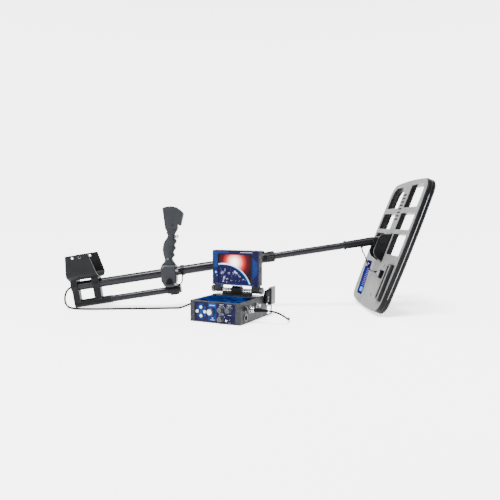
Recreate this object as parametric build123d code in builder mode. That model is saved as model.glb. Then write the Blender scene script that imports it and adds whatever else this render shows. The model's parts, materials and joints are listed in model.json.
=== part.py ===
from build123d import *
import math
import os

# Metal detector as it stands on the floor: telescopic shaft, arm cradle, hand grip and tilting search
# coil, with a separate control box and its flip-up display beside it. Millimetres, +Z up, the origin
# at floor level under the middle of the whole outfit. X runs along the shaft towards the coil.
#
# Three local frames carry the design, and every size below is given in one of them:
#   shaft  s along the main tube's axis from its rear end, n square to it and upwards, y to the far side
#   coil   e up the coil's length from its middle, y to the far side, lift above its top face
#   box    x to the right, y back from the front face, z up from the floor

# ---- shaft --------------------------------------------------------------------------------------
SHAFT_TILT = 8.7            # the shaft rises this many degrees towards the coil
REAR_X = -567.8             # s = 0 in the model's own frame
SHAFT_Y = 51.6
MAIN_R = 15.0               # main tube, 30 mm
FRONT_R = 11.0              # front and lower tubes, 22 mm
TUBE_WALL = 1.5
FIT = 0.05                  # radial running clearance
GAP = 0.4                   # end clearance between pieces that turn against each other
LOWER_DROP = 58.0           # lower tube axis below the main axis
MAIN_SPAN = (14.0, 645.0)   # first and last s of each tube
LOWER_SPAN = (8.0, 348.0)
FRONT_SPAN = (440.0, 985.0)
GLAND_REACH = 6.0           # the rear gland's collar stands out this far
COLLAR_SPAN = (614.0, 650.0)
COLLAR_R = 17.4
NUT_R = 16.6
NUT_LENGTH = 23.0

# ---- arm cradle ---------------------------------------------------------------------------------
FOOT_SPAN = (4.0, 128.0)    # base sleeve around the lower tube
FOOT_R = 12.5
WEBS = ((3.0, 22.0), (72.0, 24.0))      # start and length of the two webs
WEB_THICK = 20.0
WEB_R = 18.5
PAD_S = (16.0, 84.0)        # bolts through the cradle floor
PAD_BOLT_Y = 9.0
BOLT_R = 2.5
CRADLE_SPAN = (5.0, 106.0)
CRADLE_GAUGE = 3.0
CRADLE_HEIGHT = 80.0
CRADLE_TOP_HALF = 52.0
CRADLE_SIDE_HALF = 46.0
CRADLE_FLOOR_HALF = 27.0
CRADLE_FLOOR_N = 20.5       # underside of the cradle above the shaft axis
STRAP_S = (36.0, 60.0)      # strap holes near the upper edges
STRAP_HOLE_R = 3.6

# ---- grip: x forward and z up from the shaft axis at GRIP_S ---------------------------------------
GRIP_S = 326.5
STEM_HALF = 15.0            # half thickness of the hand grip
BARREL_HALF = 23.0
HEAD_HALF = 14.0
BACK_CURVE = ((-25.7, 23.5), (-15.0, 37.0), (-19.0, 56.0), (-21.7, 76.0), (-17.0, 98.0), (-5.5, 117.0),
              (-6.0, 128.0), (-11.3, 140.7))
FRONT_CURVE = ((28.0, 140.7), (19.5, 124.0), (19.5, 112.0), (24.8, 101.0), (18.2, 88.5), (22.3, 78.7),
               (14.8, 67.0), (17.9, 55.2), (10.3, 43.0), (22.4, 23.5))
BARREL = ((-25.7, 23.5), (22.4, 23.5), (25.6, 12.0), (25.6, -30.0), (18.0, -48.0), (-13.0, -48.0),
          (-25.0, -28.0), (-27.0, 10.0))
HEAD_BACK = ((-11.8, 141.2), (-20.5, 209.5))
HEAD_CROWN = (16.0, 215.2)
HEAD_FRONT = ((48.2, 191.5), (39.7, 153.6), (36.5, 151.5), (27.0, 157.0), (29.2, 147.7), (28.2, 141.2))
EYE_AT = (12.5, 153.5)
BUTTON_AT = (25.0, 117.0)   # trigger button
BALL_R = 6.2
STEM_R = 3.0                # stems of the trigger, the saddle knob and the rotary knobs
SADDLE_SPAN = (312.0, 356.0)
SADDLE_R = 14.0
SADDLE_KNOB_AT = (3.0, -30.0)
GRIP_SCREWS = ((-4.0, 128.5), (-3.0, 44.0), (-19.0, 17.5))
FLANGE_SPAN = (364.0, 376.0)
LEAD_Y = -19.5              # the trigger lead runs in this plane
LEAD_GLANDS = ((22.6, 6.0), (19.0, -38.5))      # seats of its two glands, as x and z
GRIP_ROUTE = ((31.0, 6.0), (38.0, 6.0), (44.0, -2.0), (46.0, -16.0), (44.0, -30.0), (38.0, -38.5),
              (29.5, -38.5))

# ---- search coil --------------------------------------------------------------------------------
SLEEVE_SPAN = (905.0, 1000.0)
BOSS_S = 962.0              # outlet of the coil lead under the sleeve
BOSS_DROP = 16.5
PIVOT_S = 1024.0            # coil tilt axis on the shaft
PIVOT_LIFT = 24.0           # tilt axis above the coil's top face
PIN_R = 5.0
CHEEK_IN = 24.0
CHEEK_OUT = 30.0
CHEEK = ((-67.0, 0.0), (-58.0, 28.0), (-44.0, 38.0), (4.0, 38.0), (16.0, 32.0), (31.0, 0.0))
COIL_LEAN = 69.2            # coil plane from horizontal
COIL_HALF_L = 220.0
COIL_CORNER_L = 212.0
COIL_HALF_W = 190.0
COIL_CORNER_W = 178.0
COIL_CORNER_R = 46.0
COIL_T = 28.0
COVER_T = 2.5
COVER_INSET = 3.0
RIM_BEVEL = 4.0
SEAM = -1.0                 # height of the joint between the coil's shells, from mid thickness
TRAY_INSET = 17.0
TRAY_FLOOR = -5.0
WINDOW_ROWS = ((122.0, 199.0, 27.0, 160.0), (48.0, 104.0, 27.0, 171.0), (-35.0, 34.0, 34.0, 171.0))
WINDOW_R = 5.0
TOP_WINDOW_R = 36.0
SPINE_SLOTS = 8
SLOT_STEP = 12.0
SLOT_FIRST = 83.0
SLOT_SIZE = (30.0, 3.5)
RING = (7.0, 12.0)          # transmit winding between these insets of the outline
LOOP_E = -125.0             # receive loop inside the solid lower panel
LOOP_SIZE = (110.0, 290.0)
LOOP_BUNDLE = 8.0
WINDING_T = 7.0
WINDING_GAP = 1.0
SCREW_SPOTS = ((-74.5, -71.0), (-74.5, -127.0), (-174.0, -49.0), (-174.0, -99.0))
CHANNEL_AT = (-122.0, -154.0)
CHANNEL_H = 11.0
SOCKET_AT = (-102.0, -98.0)
PLUG_LIFT = 8.0
PLUG_LENGTH = 64.0
COIL_SLACK = ((-62.0, 10.0, 50.0), (-74.0, 26.0, 36.0), (-88.0, 38.0, 22.0), (-99.0, 36.0, 13.0),
              (-103.0, 20.0, 9.0))      # middle of the coil lead's route, in the coil's frame

# ---- control box --------------------------------------------------------------------------------
BOX_FRONT = (-79.8, -204.4)     # middle of the box's front face in the model's own frame
BOX_TURN = 26.6             # the control box is turned this far from the shaft
BOX_W = 162.0
BOX_D = 172.0
BOX_H = 60.5
BOX_WALL = 3.0
BEZEL = 15.0
PANEL_Y = 2.0               # the control panel is set this far into the case
PANEL_T = 2.0
COVER_SIZE = (146.0, 107.0)     # recess of the top panel, and the middle of its depth
COVER_Y = 56.5
LUG_D = 38.0                # strap lugs behind the box
LUG_H = 31.0
SLOT_H = 25.0
BUTTON_MID = (-43.5, 30.5)  # cross of four push buttons, as x and z on the front
BUTTON_STEP = 12.4
BUTTON_R = 5.4
BUTTON_STEM_R = 4.4
SELECT_AT = (-12.0, 31.5)
SELECT_STEM_R = 6.0
KNOBS = {"gain_knob": (21.5, 40.0), "volume_knob": (45.5, 40.0), "balance_knob": (21.5, 14.0)}
KNOB_R = 8.6
TOGGLE_AT = (46.5, 14.0)
PROBE_AT = (54.0, 37.0)     # plug on the right wall, as y and z
MAIN_AT = (150.0, 25.0)     # plug on the left wall
JACK_AT = (31.0, 17.0)
JACK_R = 7.2
DOME_AT = (30.0, 42.0)
SMALL_AT = (98.0, 42.0)
WALL_PLUG_REACH = 62.0
CLAMP_T = 8.0
CLAMP_EDGE = ((150, 40), (150, 66), (158, 78), (164, 72), (170, 80), (176, 74), (183, 82), (187, 80),
              (187, 33), (180, 33), (176, 42), (170, 46), (162, 38))
BRACKET_BOLTS = ((160.0, 48.0), (160.0, 58.0))
PLATE_AT = (208.2, 57.0)
PLATE_SIZE = (42.0, 55.0)
FLANGE_Y = 188.7            # the plate's bent edge against the clamp

# ---- display ------------------------------------------------------------------------------------
HINGE_Y = 134.7
HINGE_Z = 79.0
ROD_R = 4.0
POST_HALF = 15.0
POST_R = 11.0
ARM_X = (52.0, 73.0)        # hinge arms of the display
ARM_R = 9.5
LID_W = 155.0
LID_H = 105.0
LID_FOOT = 13.7             # the display's lower edge above the hinge axis
LID_FACE = 15.0             # its front face before the hinge axis, and its back face behind it
FRAME_T = 9.0
GLASS_SIZE = (113.0, 86.0)
GLASS_X = -0.8
GLASS_FOOT = 6.0

# ---- cords: the corners of their runs in the model's own frame ------------------------------------
CORD_R = 3.0
PROBE_R = 2.6
LEAD_R = 2.0
MAIN_ROUTE = ((-591.8, 48.4, 51.0), (-595.8, 41.4, 25.0), (-577.8, 31.4, 7.0), (-548.8, 17.4, 3.2),
              (-507.8, 8.4, 3.2), (-440.8, 12.4, 3.2), (-365.8, 19.4, 3.2), (-290.8, 22.4, 3.2),
              (-237.8, 29.4, 3.2), (-206.0, 25.4, 4.0), (-184.0, 15.9, 15.0))
PROBE_ROUTE = ((108.0, -221.6, 26.0), (123.0, -203.6, 13.0), (130.0, -177.6, 4.0), (132.0, -151.6, 3.2))

# ---- frames -------------------------------------------------------------------------------------
COS = math.cos(math.radians(SHAFT_TILT))
SIN = math.sin(math.radians(SHAFT_TILT))
SHAFT_DIR = Vector(COS, 0, SIN)
SHAFT_UP = Vector(-SIN, 0, COS)
# The rear end of the base sleeve stands on the floor.
SHAFT_REAR = Vector(REAR_X, SHAFT_Y, (LOWER_DROP + FOOT_R) * COS - FOOT_SPAN[0] * SIN)


def shaft_point(s, n=0.0, y=0.0):
    return SHAFT_REAR + SHAFT_DIR * s + SHAFT_UP * n + Vector(0, y, 0)


def across(s, n=0.0):
    """Plane square to the shaft: x to the far side, y up, z along the shaft."""
    return Plane(origin=shaft_point(s, n), x_dir=(0, 1, 0), z_dir=SHAFT_DIR)


def beside(y=0.0):
    """Plane along the shaft seen from the near side: x along, y up, z towards the near side."""
    return Plane(origin=shaft_point(0, 0, y), x_dir=SHAFT_DIR, z_dir=(0, -1, 0))


def above(n=0.0):
    """Plane parallel to the shaft seen from above: x along, y to the far side, z up."""
    return Plane(origin=shaft_point(0, n), x_dir=SHAFT_DIR, z_dir=SHAFT_UP)


def grip_plane(y=0.0):
    """Upright plane of the grip: x forward, y up, z towards the near side."""
    return Plane(origin=shaft_point(GRIP_S, 0, y), x_dir=(1, 0, 0), z_dir=(0, -1, 0))


def grip_forward(x, z, y=0.0):
    """Plane square to the grip's forward direction, z forward."""
    origin = grip_plane(y).from_local_coords((x, z, 0))
    return Plane(origin=origin, x_dir=(0, 1, 0), z_dir=(1, 0, 0))


LEAN_COS = math.cos(math.radians(COIL_LEAN))
LEAN_SIN = math.sin(math.radians(COIL_LEAN))
COIL_LONG = Vector(LEAN_COS, 0, LEAN_SIN)
COIL_UP = Vector(-LEAN_SIN, 0, LEAN_COS)
TOP = COIL_T / 2
# The coil hangs on the tilt bolt with its lower edge on the floor.
PIVOT = shaft_point(PIVOT_S)
COIL_ABREAST = PIVOT - COIL_UP * (PIVOT_LIFT + TOP)
COIL_MID_Z = COIL_HALF_L * LEAN_SIN + (TOP - RIM_BEVEL) * LEAN_COS
PIVOT_E = (COIL_ABREAST.Z - COIL_MID_Z) / LEAN_SIN
COIL_MID = COIL_ABREAST - COIL_LONG * PIVOT_E


def coil_plane(lift=0.0):
    """Coil frame: x up its length, y to the far side, z out of its top face, from mid thickness."""
    return Plane(origin=COIL_MID + COIL_UP * lift, x_dir=COIL_LONG, z_dir=COIL_UP)


def coil_point(e, y, lift):
    return COIL_MID + COIL_LONG * e + COIL_UP * (TOP + lift) + Vector(0, y, 0)


TURN_COS = math.cos(math.radians(BOX_TURN))
TURN_SIN = math.sin(math.radians(BOX_TURN))
BOX_RIGHT = Vector(TURN_COS, -TURN_SIN, 0)
BOX_BACK = Vector(TURN_SIN, TURN_COS, 0)


def box_point(x, y, z):
    return Vector(*BOX_FRONT) + BOX_RIGHT * x + BOX_BACK * y + Vector(0, 0, z)


def box_floor(z=0.0):
    return Plane(origin=box_point(0, 0, z), x_dir=BOX_RIGHT, z_dir=(0, 0, 1))


def box_face(y=0.0):
    """Plane parallel to the box's front: x right, y up, z out towards the user."""
    return Plane(origin=box_point(0, y, 0), x_dir=BOX_RIGHT, z_dir=BOX_BACK * -1)


def box_side(x, y, z, outward=1):
    """Plane on a side wall at one socket: z straight out of the wall."""
    return Plane(origin=box_point(x, y, z), x_dir=BOX_BACK * outward, z_dir=BOX_RIGHT * outward)


def hinge_plane(x, outward=1):
    """Plane square to the hinge rod at x, z along the rod towards that side."""
    return box_side(x, HINGE_Y, HINGE_Z, outward)


ALONG = Axis(tuple(SHAFT_REAR), tuple(SHAFT_DIR))
OUT_OF_COIL = Axis(tuple(COIL_MID), tuple(COIL_UP))
TOWARDS_USER = Axis(tuple(box_point(0, 0, 0)), tuple(BOX_BACK * -1))
pieces = {}


def keep(part, name):
    part.label = name
    pieces[name] = part


def cylinder_on(plane, radius, amount, inner=0.0):
    """Cylinder or tube that stands on a plane; a negative amount goes behind it."""
    with BuildPart() as solid:
        with BuildSketch(plane):
            Circle(radius)
            if inner:
                Circle(inner, mode=Mode.SUBTRACT)
        extrude(amount=amount)
    return solid.part


# ---- shaft tubes --------------------------------------------------------------------------------
def make_tubes():
    for name, span, drop, radius in (("main_tube", MAIN_SPAN, 0, MAIN_R),
                                     ("lower_tube", LOWER_SPAN, LOWER_DROP, FRONT_R),
                                     ("front_tube", FRONT_SPAN, 0, FRONT_R)):
        keep(cylinder_on(across(span[0], -drop), radius, span[1] - span[0], radius - TUBE_WALL), name)


def make_rear_gland():
    """Plug in the main tube's rear end, with the collar that holds the main lead."""
    plug_r = MAIN_R - TUBE_WALL
    with BuildPart() as rear_gland:
        add(cylinder_on(across(MAIN_SPAN[0]), plug_r, 16))
        add(cylinder_on(across(MAIN_SPAN[0]), 7.5, -GLAND_REACH))
        chamfer(rear_gland.faces().sort_by(ALONG)[0].edges(), 1.5)
        add(cylinder_on(across(MAIN_SPAN[0] + 4), plug_r - 3, 12), mode=Mode.SUBTRACT)
    keep(rear_gland.part, "rear_gland")


def make_clamp_collar():
    """Fixed half of the telescopic lock: grips the main tube and guides the front tube."""
    start, end = COLLAR_SPAN
    with BuildPart() as clamp_collar:
        add(cylinder_on(across(start), COLLAR_R, end - start))
        for s in (start + 9, start + 22):
            add(cylinder_on(across(s), COLLAR_R + 1, 2, COLLAR_R - 1), mode=Mode.SUBTRACT)
        with BuildSketch(across(start, COLLAR_R + 0.6)):
            Rectangle(16, 8)
        extrude(amount=30)
        with BuildSketch(across(start, COLLAR_R + 0.6)):
            Rectangle(2, 12)
        extrude(amount=30, mode=Mode.SUBTRACT)
        add(cylinder_on(across(start), MAIN_R, MAIN_SPAN[1] - start), mode=Mode.SUBTRACT)
        add(cylinder_on(across(start), FRONT_R + FIT, end - start), mode=Mode.SUBTRACT)
    keep(clamp_collar.part, "clamp_collar")


def make_collar_nut():
    """Ribbed twist nut of the telescopic lock."""
    start = COLLAR_SPAN[1] + GAP
    nose = 3.0
    with BuildPart() as collar_nut:
        with BuildSketch(across(start)):
            Circle(NUT_R)
            with PolarLocations(NUT_R, 18):
                Circle(1.2)
        extrude(amount=NUT_LENGTH)
        with BuildSketch(across(start + NUT_LENGTH)):
            Circle(NUT_R - 1.6)
        extrude(amount=nose, taper=35)
        add(cylinder_on(across(start), FRONT_R + FIT, NUT_LENGTH + nose), mode=Mode.SUBTRACT)
    keep(collar_nut.part, "collar_nut")


# ---- arm cradle pieces --------------------------------------------------------------------------
def pad_bolts(radius, n, amount):
    """The four cradle bolts, or their holes, as one solid."""
    with BuildPart() as bolts:
        with BuildSketch(above(n)):
            for s in PAD_S:
                with Locations((s, PAD_BOLT_Y), (s, -PAD_BOLT_Y)):
                    Circle(radius)
        extrude(amount=amount)
    return bolts.part


def make_arm_bracket():
    """Two webs that tie the main tube to the base sleeve, with pads for the cradle."""
    with BuildPart() as arm_bracket:
        for start, length in WEBS:
            with BuildSketch(across(start)):
                Circle(WEB_R)
                with Locations((0, CRADLE_FLOOR_N / 2)):
                    Rectangle(34, CRADLE_FLOOR_N)
                with Locations((0, -LOWER_DROP / 2)):
                    Rectangle(WEB_THICK, LOWER_DROP)
            extrude(amount=length)
        add(cylinder_on(across(FOOT_SPAN[0], -LOWER_DROP), FOOT_R, FOOT_SPAN[1] - FOOT_SPAN[0]))
        add(cylinder_on(across(0), MAIN_R, FOOT_SPAN[1]), mode=Mode.SUBTRACT)
        add(cylinder_on(across(LOWER_SPAN[0], -LOWER_DROP), FRONT_R, FOOT_SPAN[1]), mode=Mode.SUBTRACT)
        add(pad_bolts(BOLT_R, CRADLE_FLOOR_N, -5), mode=Mode.SUBTRACT)
    keep(arm_bracket.part, "arm_bracket")


def make_arm_cradle():
    """Bent-sheet trough for the forearm, with strap holes near the upper edges."""
    top = CRADLE_FLOOR_N + CRADLE_HEIGHT
    middle = CRADLE_FLOOR_N + CRADLE_GAUGE / 2
    flare = CRADLE_FLOOR_N + 14
    start, end = CRADLE_SPAN
    with BuildPart() as arm_cradle:
        with BuildSketch(across(start)):
            with BuildLine():
                line = FilletPolyline((-CRADLE_TOP_HALF, top), (-CRADLE_SIDE_HALF, flare),
                                      (-CRADLE_FLOOR_HALF, middle), (CRADLE_FLOOR_HALF, middle),
                                      (CRADLE_SIDE_HALF, flare), (CRADLE_TOP_HALF, top), radius=10)
                offset(line, CRADLE_GAUGE / 2, side=Side.BOTH)
            make_face()
        extrude(amount=end - start)
        with BuildSketch(beside(-CRADLE_TOP_HALF - 5)):
            with BuildLine():
                FilletPolyline((start, CRADLE_FLOOR_N - 4), (start, 42), (15, top + 5), (86, top + 5),
                               (104, 32), (104, CRADLE_FLOOR_N - 4), close=True, radius=4)
            make_face()
        extrude(amount=-2 * CRADLE_TOP_HALF - 10, mode=Mode.INTERSECT)
        with BuildSketch(beside(-CRADLE_TOP_HALF - 5)):
            for s in STRAP_S:
                with Locations((s, top - 7)):
                    Circle(STRAP_HOLE_R)
        extrude(amount=-2 * CRADLE_TOP_HALF - 10, mode=Mode.SUBTRACT)
        add(pad_bolts(BOLT_R, CRADLE_FLOOR_N, CRADLE_GAUGE), mode=Mode.SUBTRACT)
    keep(arm_cradle.part, "arm_cradle")


# ---- grip pieces --------------------------------------------------------------------------------
def make_grip_shell(name, side):
    """One half of the hand grip and its barrel; side is 1 on the near side and -1 on the far one."""
    with BuildPart() as shell:
        with BuildSketch(grip_plane()):
            with BuildLine():
                Spline(*BACK_CURVE)
                Line(BACK_CURVE[-1], FRONT_CURVE[0])
                Spline(*FRONT_CURVE)
                Line(FRONT_CURVE[-1], BACK_CURVE[0])
            make_face()
        extrude(amount=side * STEM_HALF)
        with BuildSketch(grip_plane()):
            with BuildLine():
                FilletPolyline(*BARREL, close=True, radius=4)
            make_face()
        extrude(amount=side * BARREL_HALF)
        add(cylinder_on(across(GRIP_S - 50), MAIN_R, 100), mode=Mode.SUBTRACT)
        add(cylinder_on(across(GRIP_S - 50, -LOWER_DROP), SADDLE_R + 0.1, 100), mode=Mode.SUBTRACT)
        with BuildSketch(grip_plane()):
            with Locations((-3, 78)):
                Rectangle(14, 66)
            with Locations((6, BUTTON_AT[1])):
                Rectangle(12, 14)
        extrude(amount=side * 7, mode=Mode.SUBTRACT)
        x, z = BUTTON_AT
        add(cylinder_on(grip_forward(x - 12, z), BALL_R + GAP, 24), mode=Mode.SUBTRACT)
        add(cylinder_on(grip_forward(x - 16, z), STEM_R + FIT, 8), mode=Mode.SUBTRACT)
        with BuildSketch(grip_plane()):
            with Locations(*GRIP_SCREWS):
                Circle(2)
        extrude(amount=side * 10 if side < 0 else 30, mode=Mode.SUBTRACT)
        if side > 0:
            with BuildSketch(grip_plane()):
                with Locations(SADDLE_KNOB_AT):
                    Circle(STEM_R + FIT)
            extrude(amount=30, mode=Mode.SUBTRACT)
            for x, z in LEAD_GLANDS:
                add(cylinder_on(grip_forward(x, z, LEAD_Y), 4.05, 12), mode=Mode.SUBTRACT)
    keep(shell.part, name)


def make_grip_head():
    """Flared guard above the hand, with a cord eye and a notch under its front lip."""
    with BuildPart() as grip_head:
        with BuildSketch(grip_plane()):
            with BuildLine():
                Line(*HEAD_BACK)
                ThreePointArc(HEAD_BACK[1], HEAD_CROWN, HEAD_FRONT[0])
                Polyline(*HEAD_FRONT)
                Line(HEAD_FRONT[-1], HEAD_BACK[0])
            make_face()
        extrude(amount=HEAD_HALF, both=True)
        caps = grip_head.faces().filter_by(Axis.Y).sort_by(Axis.Y)
        chamfer(caps[0].edges() + caps[-1].edges(), 3)
        with BuildSketch(grip_plane(HEAD_HALF + 1)):
            with Locations(EYE_AT):
                Circle(2.2)
        extrude(amount=2 * HEAD_HALF + 2, mode=Mode.SUBTRACT)
    keep(grip_head.part, "grip_head")


def make_trigger():
    """Ball-ended push button in the grip, and the switch behind it."""
    x, z = BUTTON_AT
    with BuildPart() as trigger_button:
        add(cylinder_on(grip_forward(x - 14, z), STEM_R, 10))
        with Locations(grip_forward(x, z).location):
            Sphere(BALL_R)
    keep(trigger_button.part, "trigger_button")
    with BuildPart(grip_plane()) as trigger_switch:
        with Locations((3.5, z, 0)):
            Box(6.4, 11, 11)
    keep(trigger_switch.part, "trigger_switch")


def make_saddle():
    """Clamp under the grip that holds the lower tube's front end, and its hand knob."""
    start, end = SADDLE_SPAN
    with BuildPart() as grip_saddle:
        add(cylinder_on(across(start, -LOWER_DROP), SADDLE_R, end - start))
        with BuildSketch(across(start + 8, -LOWER_DROP - SADDLE_R)):
            Rectangle(14, 8)
        extrude(amount=28)
        add(cylinder_on(across(start, -LOWER_DROP), FRONT_R, LOWER_SPAN[1] - start), mode=Mode.SUBTRACT)
        with BuildSketch(across(start, -LOWER_DROP - SADDLE_R - 4)):
            Rectangle(2, 14)
        extrude(amount=end - start, mode=Mode.SUBTRACT)
    keep(grip_saddle.part, "grip_saddle")
    with BuildPart() as saddle_knob:
        with BuildSketch(grip_plane(-BARREL_HALF - GAP)):
            with Locations(SADDLE_KNOB_AT):
                Circle(8.5)
                with PolarLocations(7, 3, start_angle=90):
                    Circle(4.6)
        extrude(amount=8)
        chamfer(saddle_knob.faces().sort_by(Axis.Y)[0].edges(), 1)
        with BuildSketch(grip_plane(-BARREL_HALF - GAP)):
            with Locations(SADDLE_KNOB_AT):
                Circle(STEM_R)
        extrude(amount=-8)
    keep(saddle_knob.part, "saddle_knob")


def make_grip_flange():
    start, end = FLANGE_SPAN
    with BuildPart() as grip_flange:
        add(cylinder_on(across(start), MAIN_R + 2.2, end - start, MAIN_R))
        rims = grip_flange.edges().filter_by(GeomType.CIRCLE)
        chamfer(rims.filter_by(lambda edge: edge.radius > MAIN_R + 1), 1)
    keep(grip_flange.part, "grip_flange")


def make_fixings():
    """Screws of the cradle, the grip and the accessory bracket, and the trigger lead's glands."""
    sheet_top = CRADLE_FLOOR_N + CRADLE_GAUGE
    with BuildPart() as fixings:
        add(pad_bolts(4.3, sheet_top, 4))
        add(pad_bolts(BOLT_R, sheet_top, -8))
        for x, z in GRIP_SCREWS:
            half = BARREL_HALF if z < BACK_CURVE[0][1] else STEM_HALF
            with BuildSketch(grip_plane(-half)):
                with Locations((x, z)):
                    Circle(3.6)
            extrude(amount=1.6)
            with BuildSketch(grip_plane(-half)):
                with Locations((x, z)):
                    Circle(2)
            extrude(amount=-(half + 9))
        for y, z in BRACKET_BOLTS:
            add(cylinder_on(box_side(BOX_W / 2 + CLAMP_T, y, z), 3.4, 3))
        for (x, z), (tip, _) in zip(LEAD_GLANDS, (GRIP_ROUTE[0], GRIP_ROUTE[-1])):
            with BuildSketch(grip_forward(x, z, LEAD_Y)):
                RegularPolygon(4, 6)
            extrude(amount=tip - x)
    keep(fixings.part, "fixings")


# ---- tilting end of the shaft -------------------------------------------------------------------
def make_yoke_sleeve():
    """Flared sleeve on the front tube, with the coil lead's outlet under it."""
    start, end = SLEEVE_SPAN
    with BuildPart() as yoke_sleeve:
        add(cylinder_on(across(start), 14.6, 6))
        with BuildSketch(across(start + 6)):
            Circle(12.6)
        with BuildSketch(across(end)):
            Circle(14)
        loft()
        with BuildSketch(above(-FRONT_R - 1)):
            with Locations((BOSS_S, 0)):
                Circle(4.5)
        extrude(amount=FRONT_R + 1 - BOSS_DROP)
        add(cylinder_on(across(start), FRONT_R, FRONT_SPAN[1] - start), mode=Mode.SUBTRACT)
    keep(yoke_sleeve.part, "yoke_sleeve")


def on_pivot(y, radius, amount):
    """Cylinder on the tilt axis from y towards the far side."""
    with BuildPart() as solid:
        with BuildSketch(beside(y)):
            with Locations((PIVOT_S, 0)):
                Circle(radius)
        extrude(amount=-amount)
    return solid.part


def make_tilt_fork():
    boss = CHEEK_IN - GAP
    with BuildPart() as tilt_fork:
        with BuildSketch(across(SLEEVE_SPAN[1])):
            RectangleRounded(30, 25, 5)
        extrude(amount=PIVOT_S - SLEEVE_SPAN[1])
        add(on_pivot(-boss, 12.5, 2 * boss))
        add(on_pivot(-boss, PIN_R, 2 * boss), mode=Mode.SUBTRACT)
    keep(tilt_fork.part, "tilt_fork")
    outer = CHEEK_OUT + GAP
    with BuildPart() as tilt_bolt:
        add(on_pivot(-outer, PIN_R, 2 * outer))
        add(on_pivot(-outer - 5, 9, 5))
        with BuildSketch(beside(outer)):
            with Locations((PIVOT_S, 0)):
                RegularPolygon(9, 6)
        extrude(amount=-7)
    keep(tilt_bolt.part, "tilt_bolt")


# ---- search coil pieces -------------------------------------------------------------------------
def outline(plane, inset=0.0):
    """Bowed rectangle with round corners, as a sketch on the plane."""
    long, corner_l = COIL_HALF_L - inset, COIL_CORNER_L - inset
    wide, corner_w = COIL_HALF_W - inset, COIL_CORNER_W - inset
    with BuildSketch(plane) as shape:
        with BuildLine():
            ThreePointArc((corner_l, -corner_w), (long, 0), (corner_l, corner_w))
            ThreePointArc((corner_l, corner_w), (0, wide), (-corner_l, corner_w))
            ThreePointArc((-corner_l, corner_w), (-long, 0), (-corner_l, -corner_w))
            ThreePointArc((-corner_l, -corner_w), (0, -wide), (corner_l, -corner_w))
        make_face()
        fillet(shape.vertices(), COIL_CORNER_R - inset)
    return shape.sketch


def make_windows():
    """Six openings right through the coil, three rows in two columns, as one solid to cut away."""
    with BuildPart() as solid:
        with BuildSketch(coil_plane(TOP + 1)):
            for row, (low, high, inner, outer) in enumerate(WINDOW_ROWS):
                corner = TOP_WINDOW_R if row == 0 else WINDOW_R
                for side in (1, -1):
                    with BuildLine():
                        FilletPolyline((low, side * inner), (low, side * outer), (high, side * outer),
                                       (high, side * inner), close=True,
                                       radius=(WINDOW_R, WINDOW_R, corner, WINDOW_R))
                    make_face()
        extrude(amount=-COIL_T - 2)
    return solid.part


def receive_loop(clearance):
    """Rectangular receive loop inside the solid lower panel, as a sketch on the seam."""
    length, width = LOOP_SIZE[0] + 2 * clearance, LOOP_SIZE[1] + 2 * clearance
    bundle = LOOP_BUNDLE + 2 * clearance
    with BuildSketch(coil_plane(SEAM)) as loop:
        with Locations((LOOP_E, 0)):
            RectangleRounded(length, width, 22 + clearance)
            RectangleRounded(length - 2 * bundle, width - 2 * bundle, 22 + clearance - bundle,
                             mode=Mode.SUBTRACT)
    return loop.sketch


def screw_holes():
    with BuildPart() as holes:
        with BuildSketch(coil_plane(TOP)):
            with Locations(*SCREW_SPOTS):
                Circle(2)
        extrude(amount=-8)
    return holes.part


def make_coil_shells():
    windows = make_windows()
    holes = screw_holes()
    under = TOP - COVER_T
    with BuildPart() as coil_cover:
        extrude(outline(coil_plane(under), COVER_INSET), amount=COVER_T)
        add(windows, mode=Mode.SUBTRACT)
        add(holes, mode=Mode.SUBTRACT)
        with BuildSketch(coil_plane(under)):
            for count in range(SPINE_SLOTS):
                with Locations((SLOT_FIRST + count * SLOT_STEP, 0)):
                    SlotOverall(*SLOT_SIZE, rotation=90)
        extrude(amount=COVER_T, mode=Mode.SUBTRACT)
    keep(coil_cover.part, "coil_cover")
    groove = WINDING_T + 2 * WINDING_GAP
    with BuildPart() as coil_top_shell:
        extrude(outline(coil_plane(SEAM)), amount=under - SEAM)
        chamfer(coil_top_shell.faces().sort_by(OUT_OF_COIL)[-1].outer_wire().edges(), 2)
        extrude(outline(coil_plane(SEAM), RING[0] - WINDING_GAP), amount=groove, mode=Mode.SUBTRACT)
        extrude(outline(coil_plane(SEAM), RING[1] + WINDING_GAP), amount=groove)
        extrude(receive_loop(WINDING_GAP), amount=groove, mode=Mode.SUBTRACT)
        add(windows, mode=Mode.SUBTRACT)
        add(holes, mode=Mode.SUBTRACT)
    keep(coil_top_shell.part, "coil_top_shell")
    with BuildPart() as coil_bottom_shell:
        extrude(outline(coil_plane(-TOP)), amount=SEAM + TOP)
        chamfer(coil_bottom_shell.faces().sort_by(OUT_OF_COIL)[0].outer_wire().edges(), RIM_BEVEL)
        extrude(outline(coil_plane(-TOP), TRAY_INSET), amount=TRAY_FLOOR + TOP, mode=Mode.SUBTRACT)
        add(windows, mode=Mode.SUBTRACT)
    keep(coil_bottom_shell.part, "coil_bottom_shell")


def make_coil_windings():
    with BuildPart() as coil_windings:
        extrude(outline(coil_plane(SEAM), RING[0]), amount=WINDING_T)
        extrude(outline(coil_plane(SEAM), RING[1]), amount=WINDING_T, mode=Mode.SUBTRACT)
        extrude(receive_loop(0), amount=WINDING_T)
    keep(coil_windings.part, "coil_windings")


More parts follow.
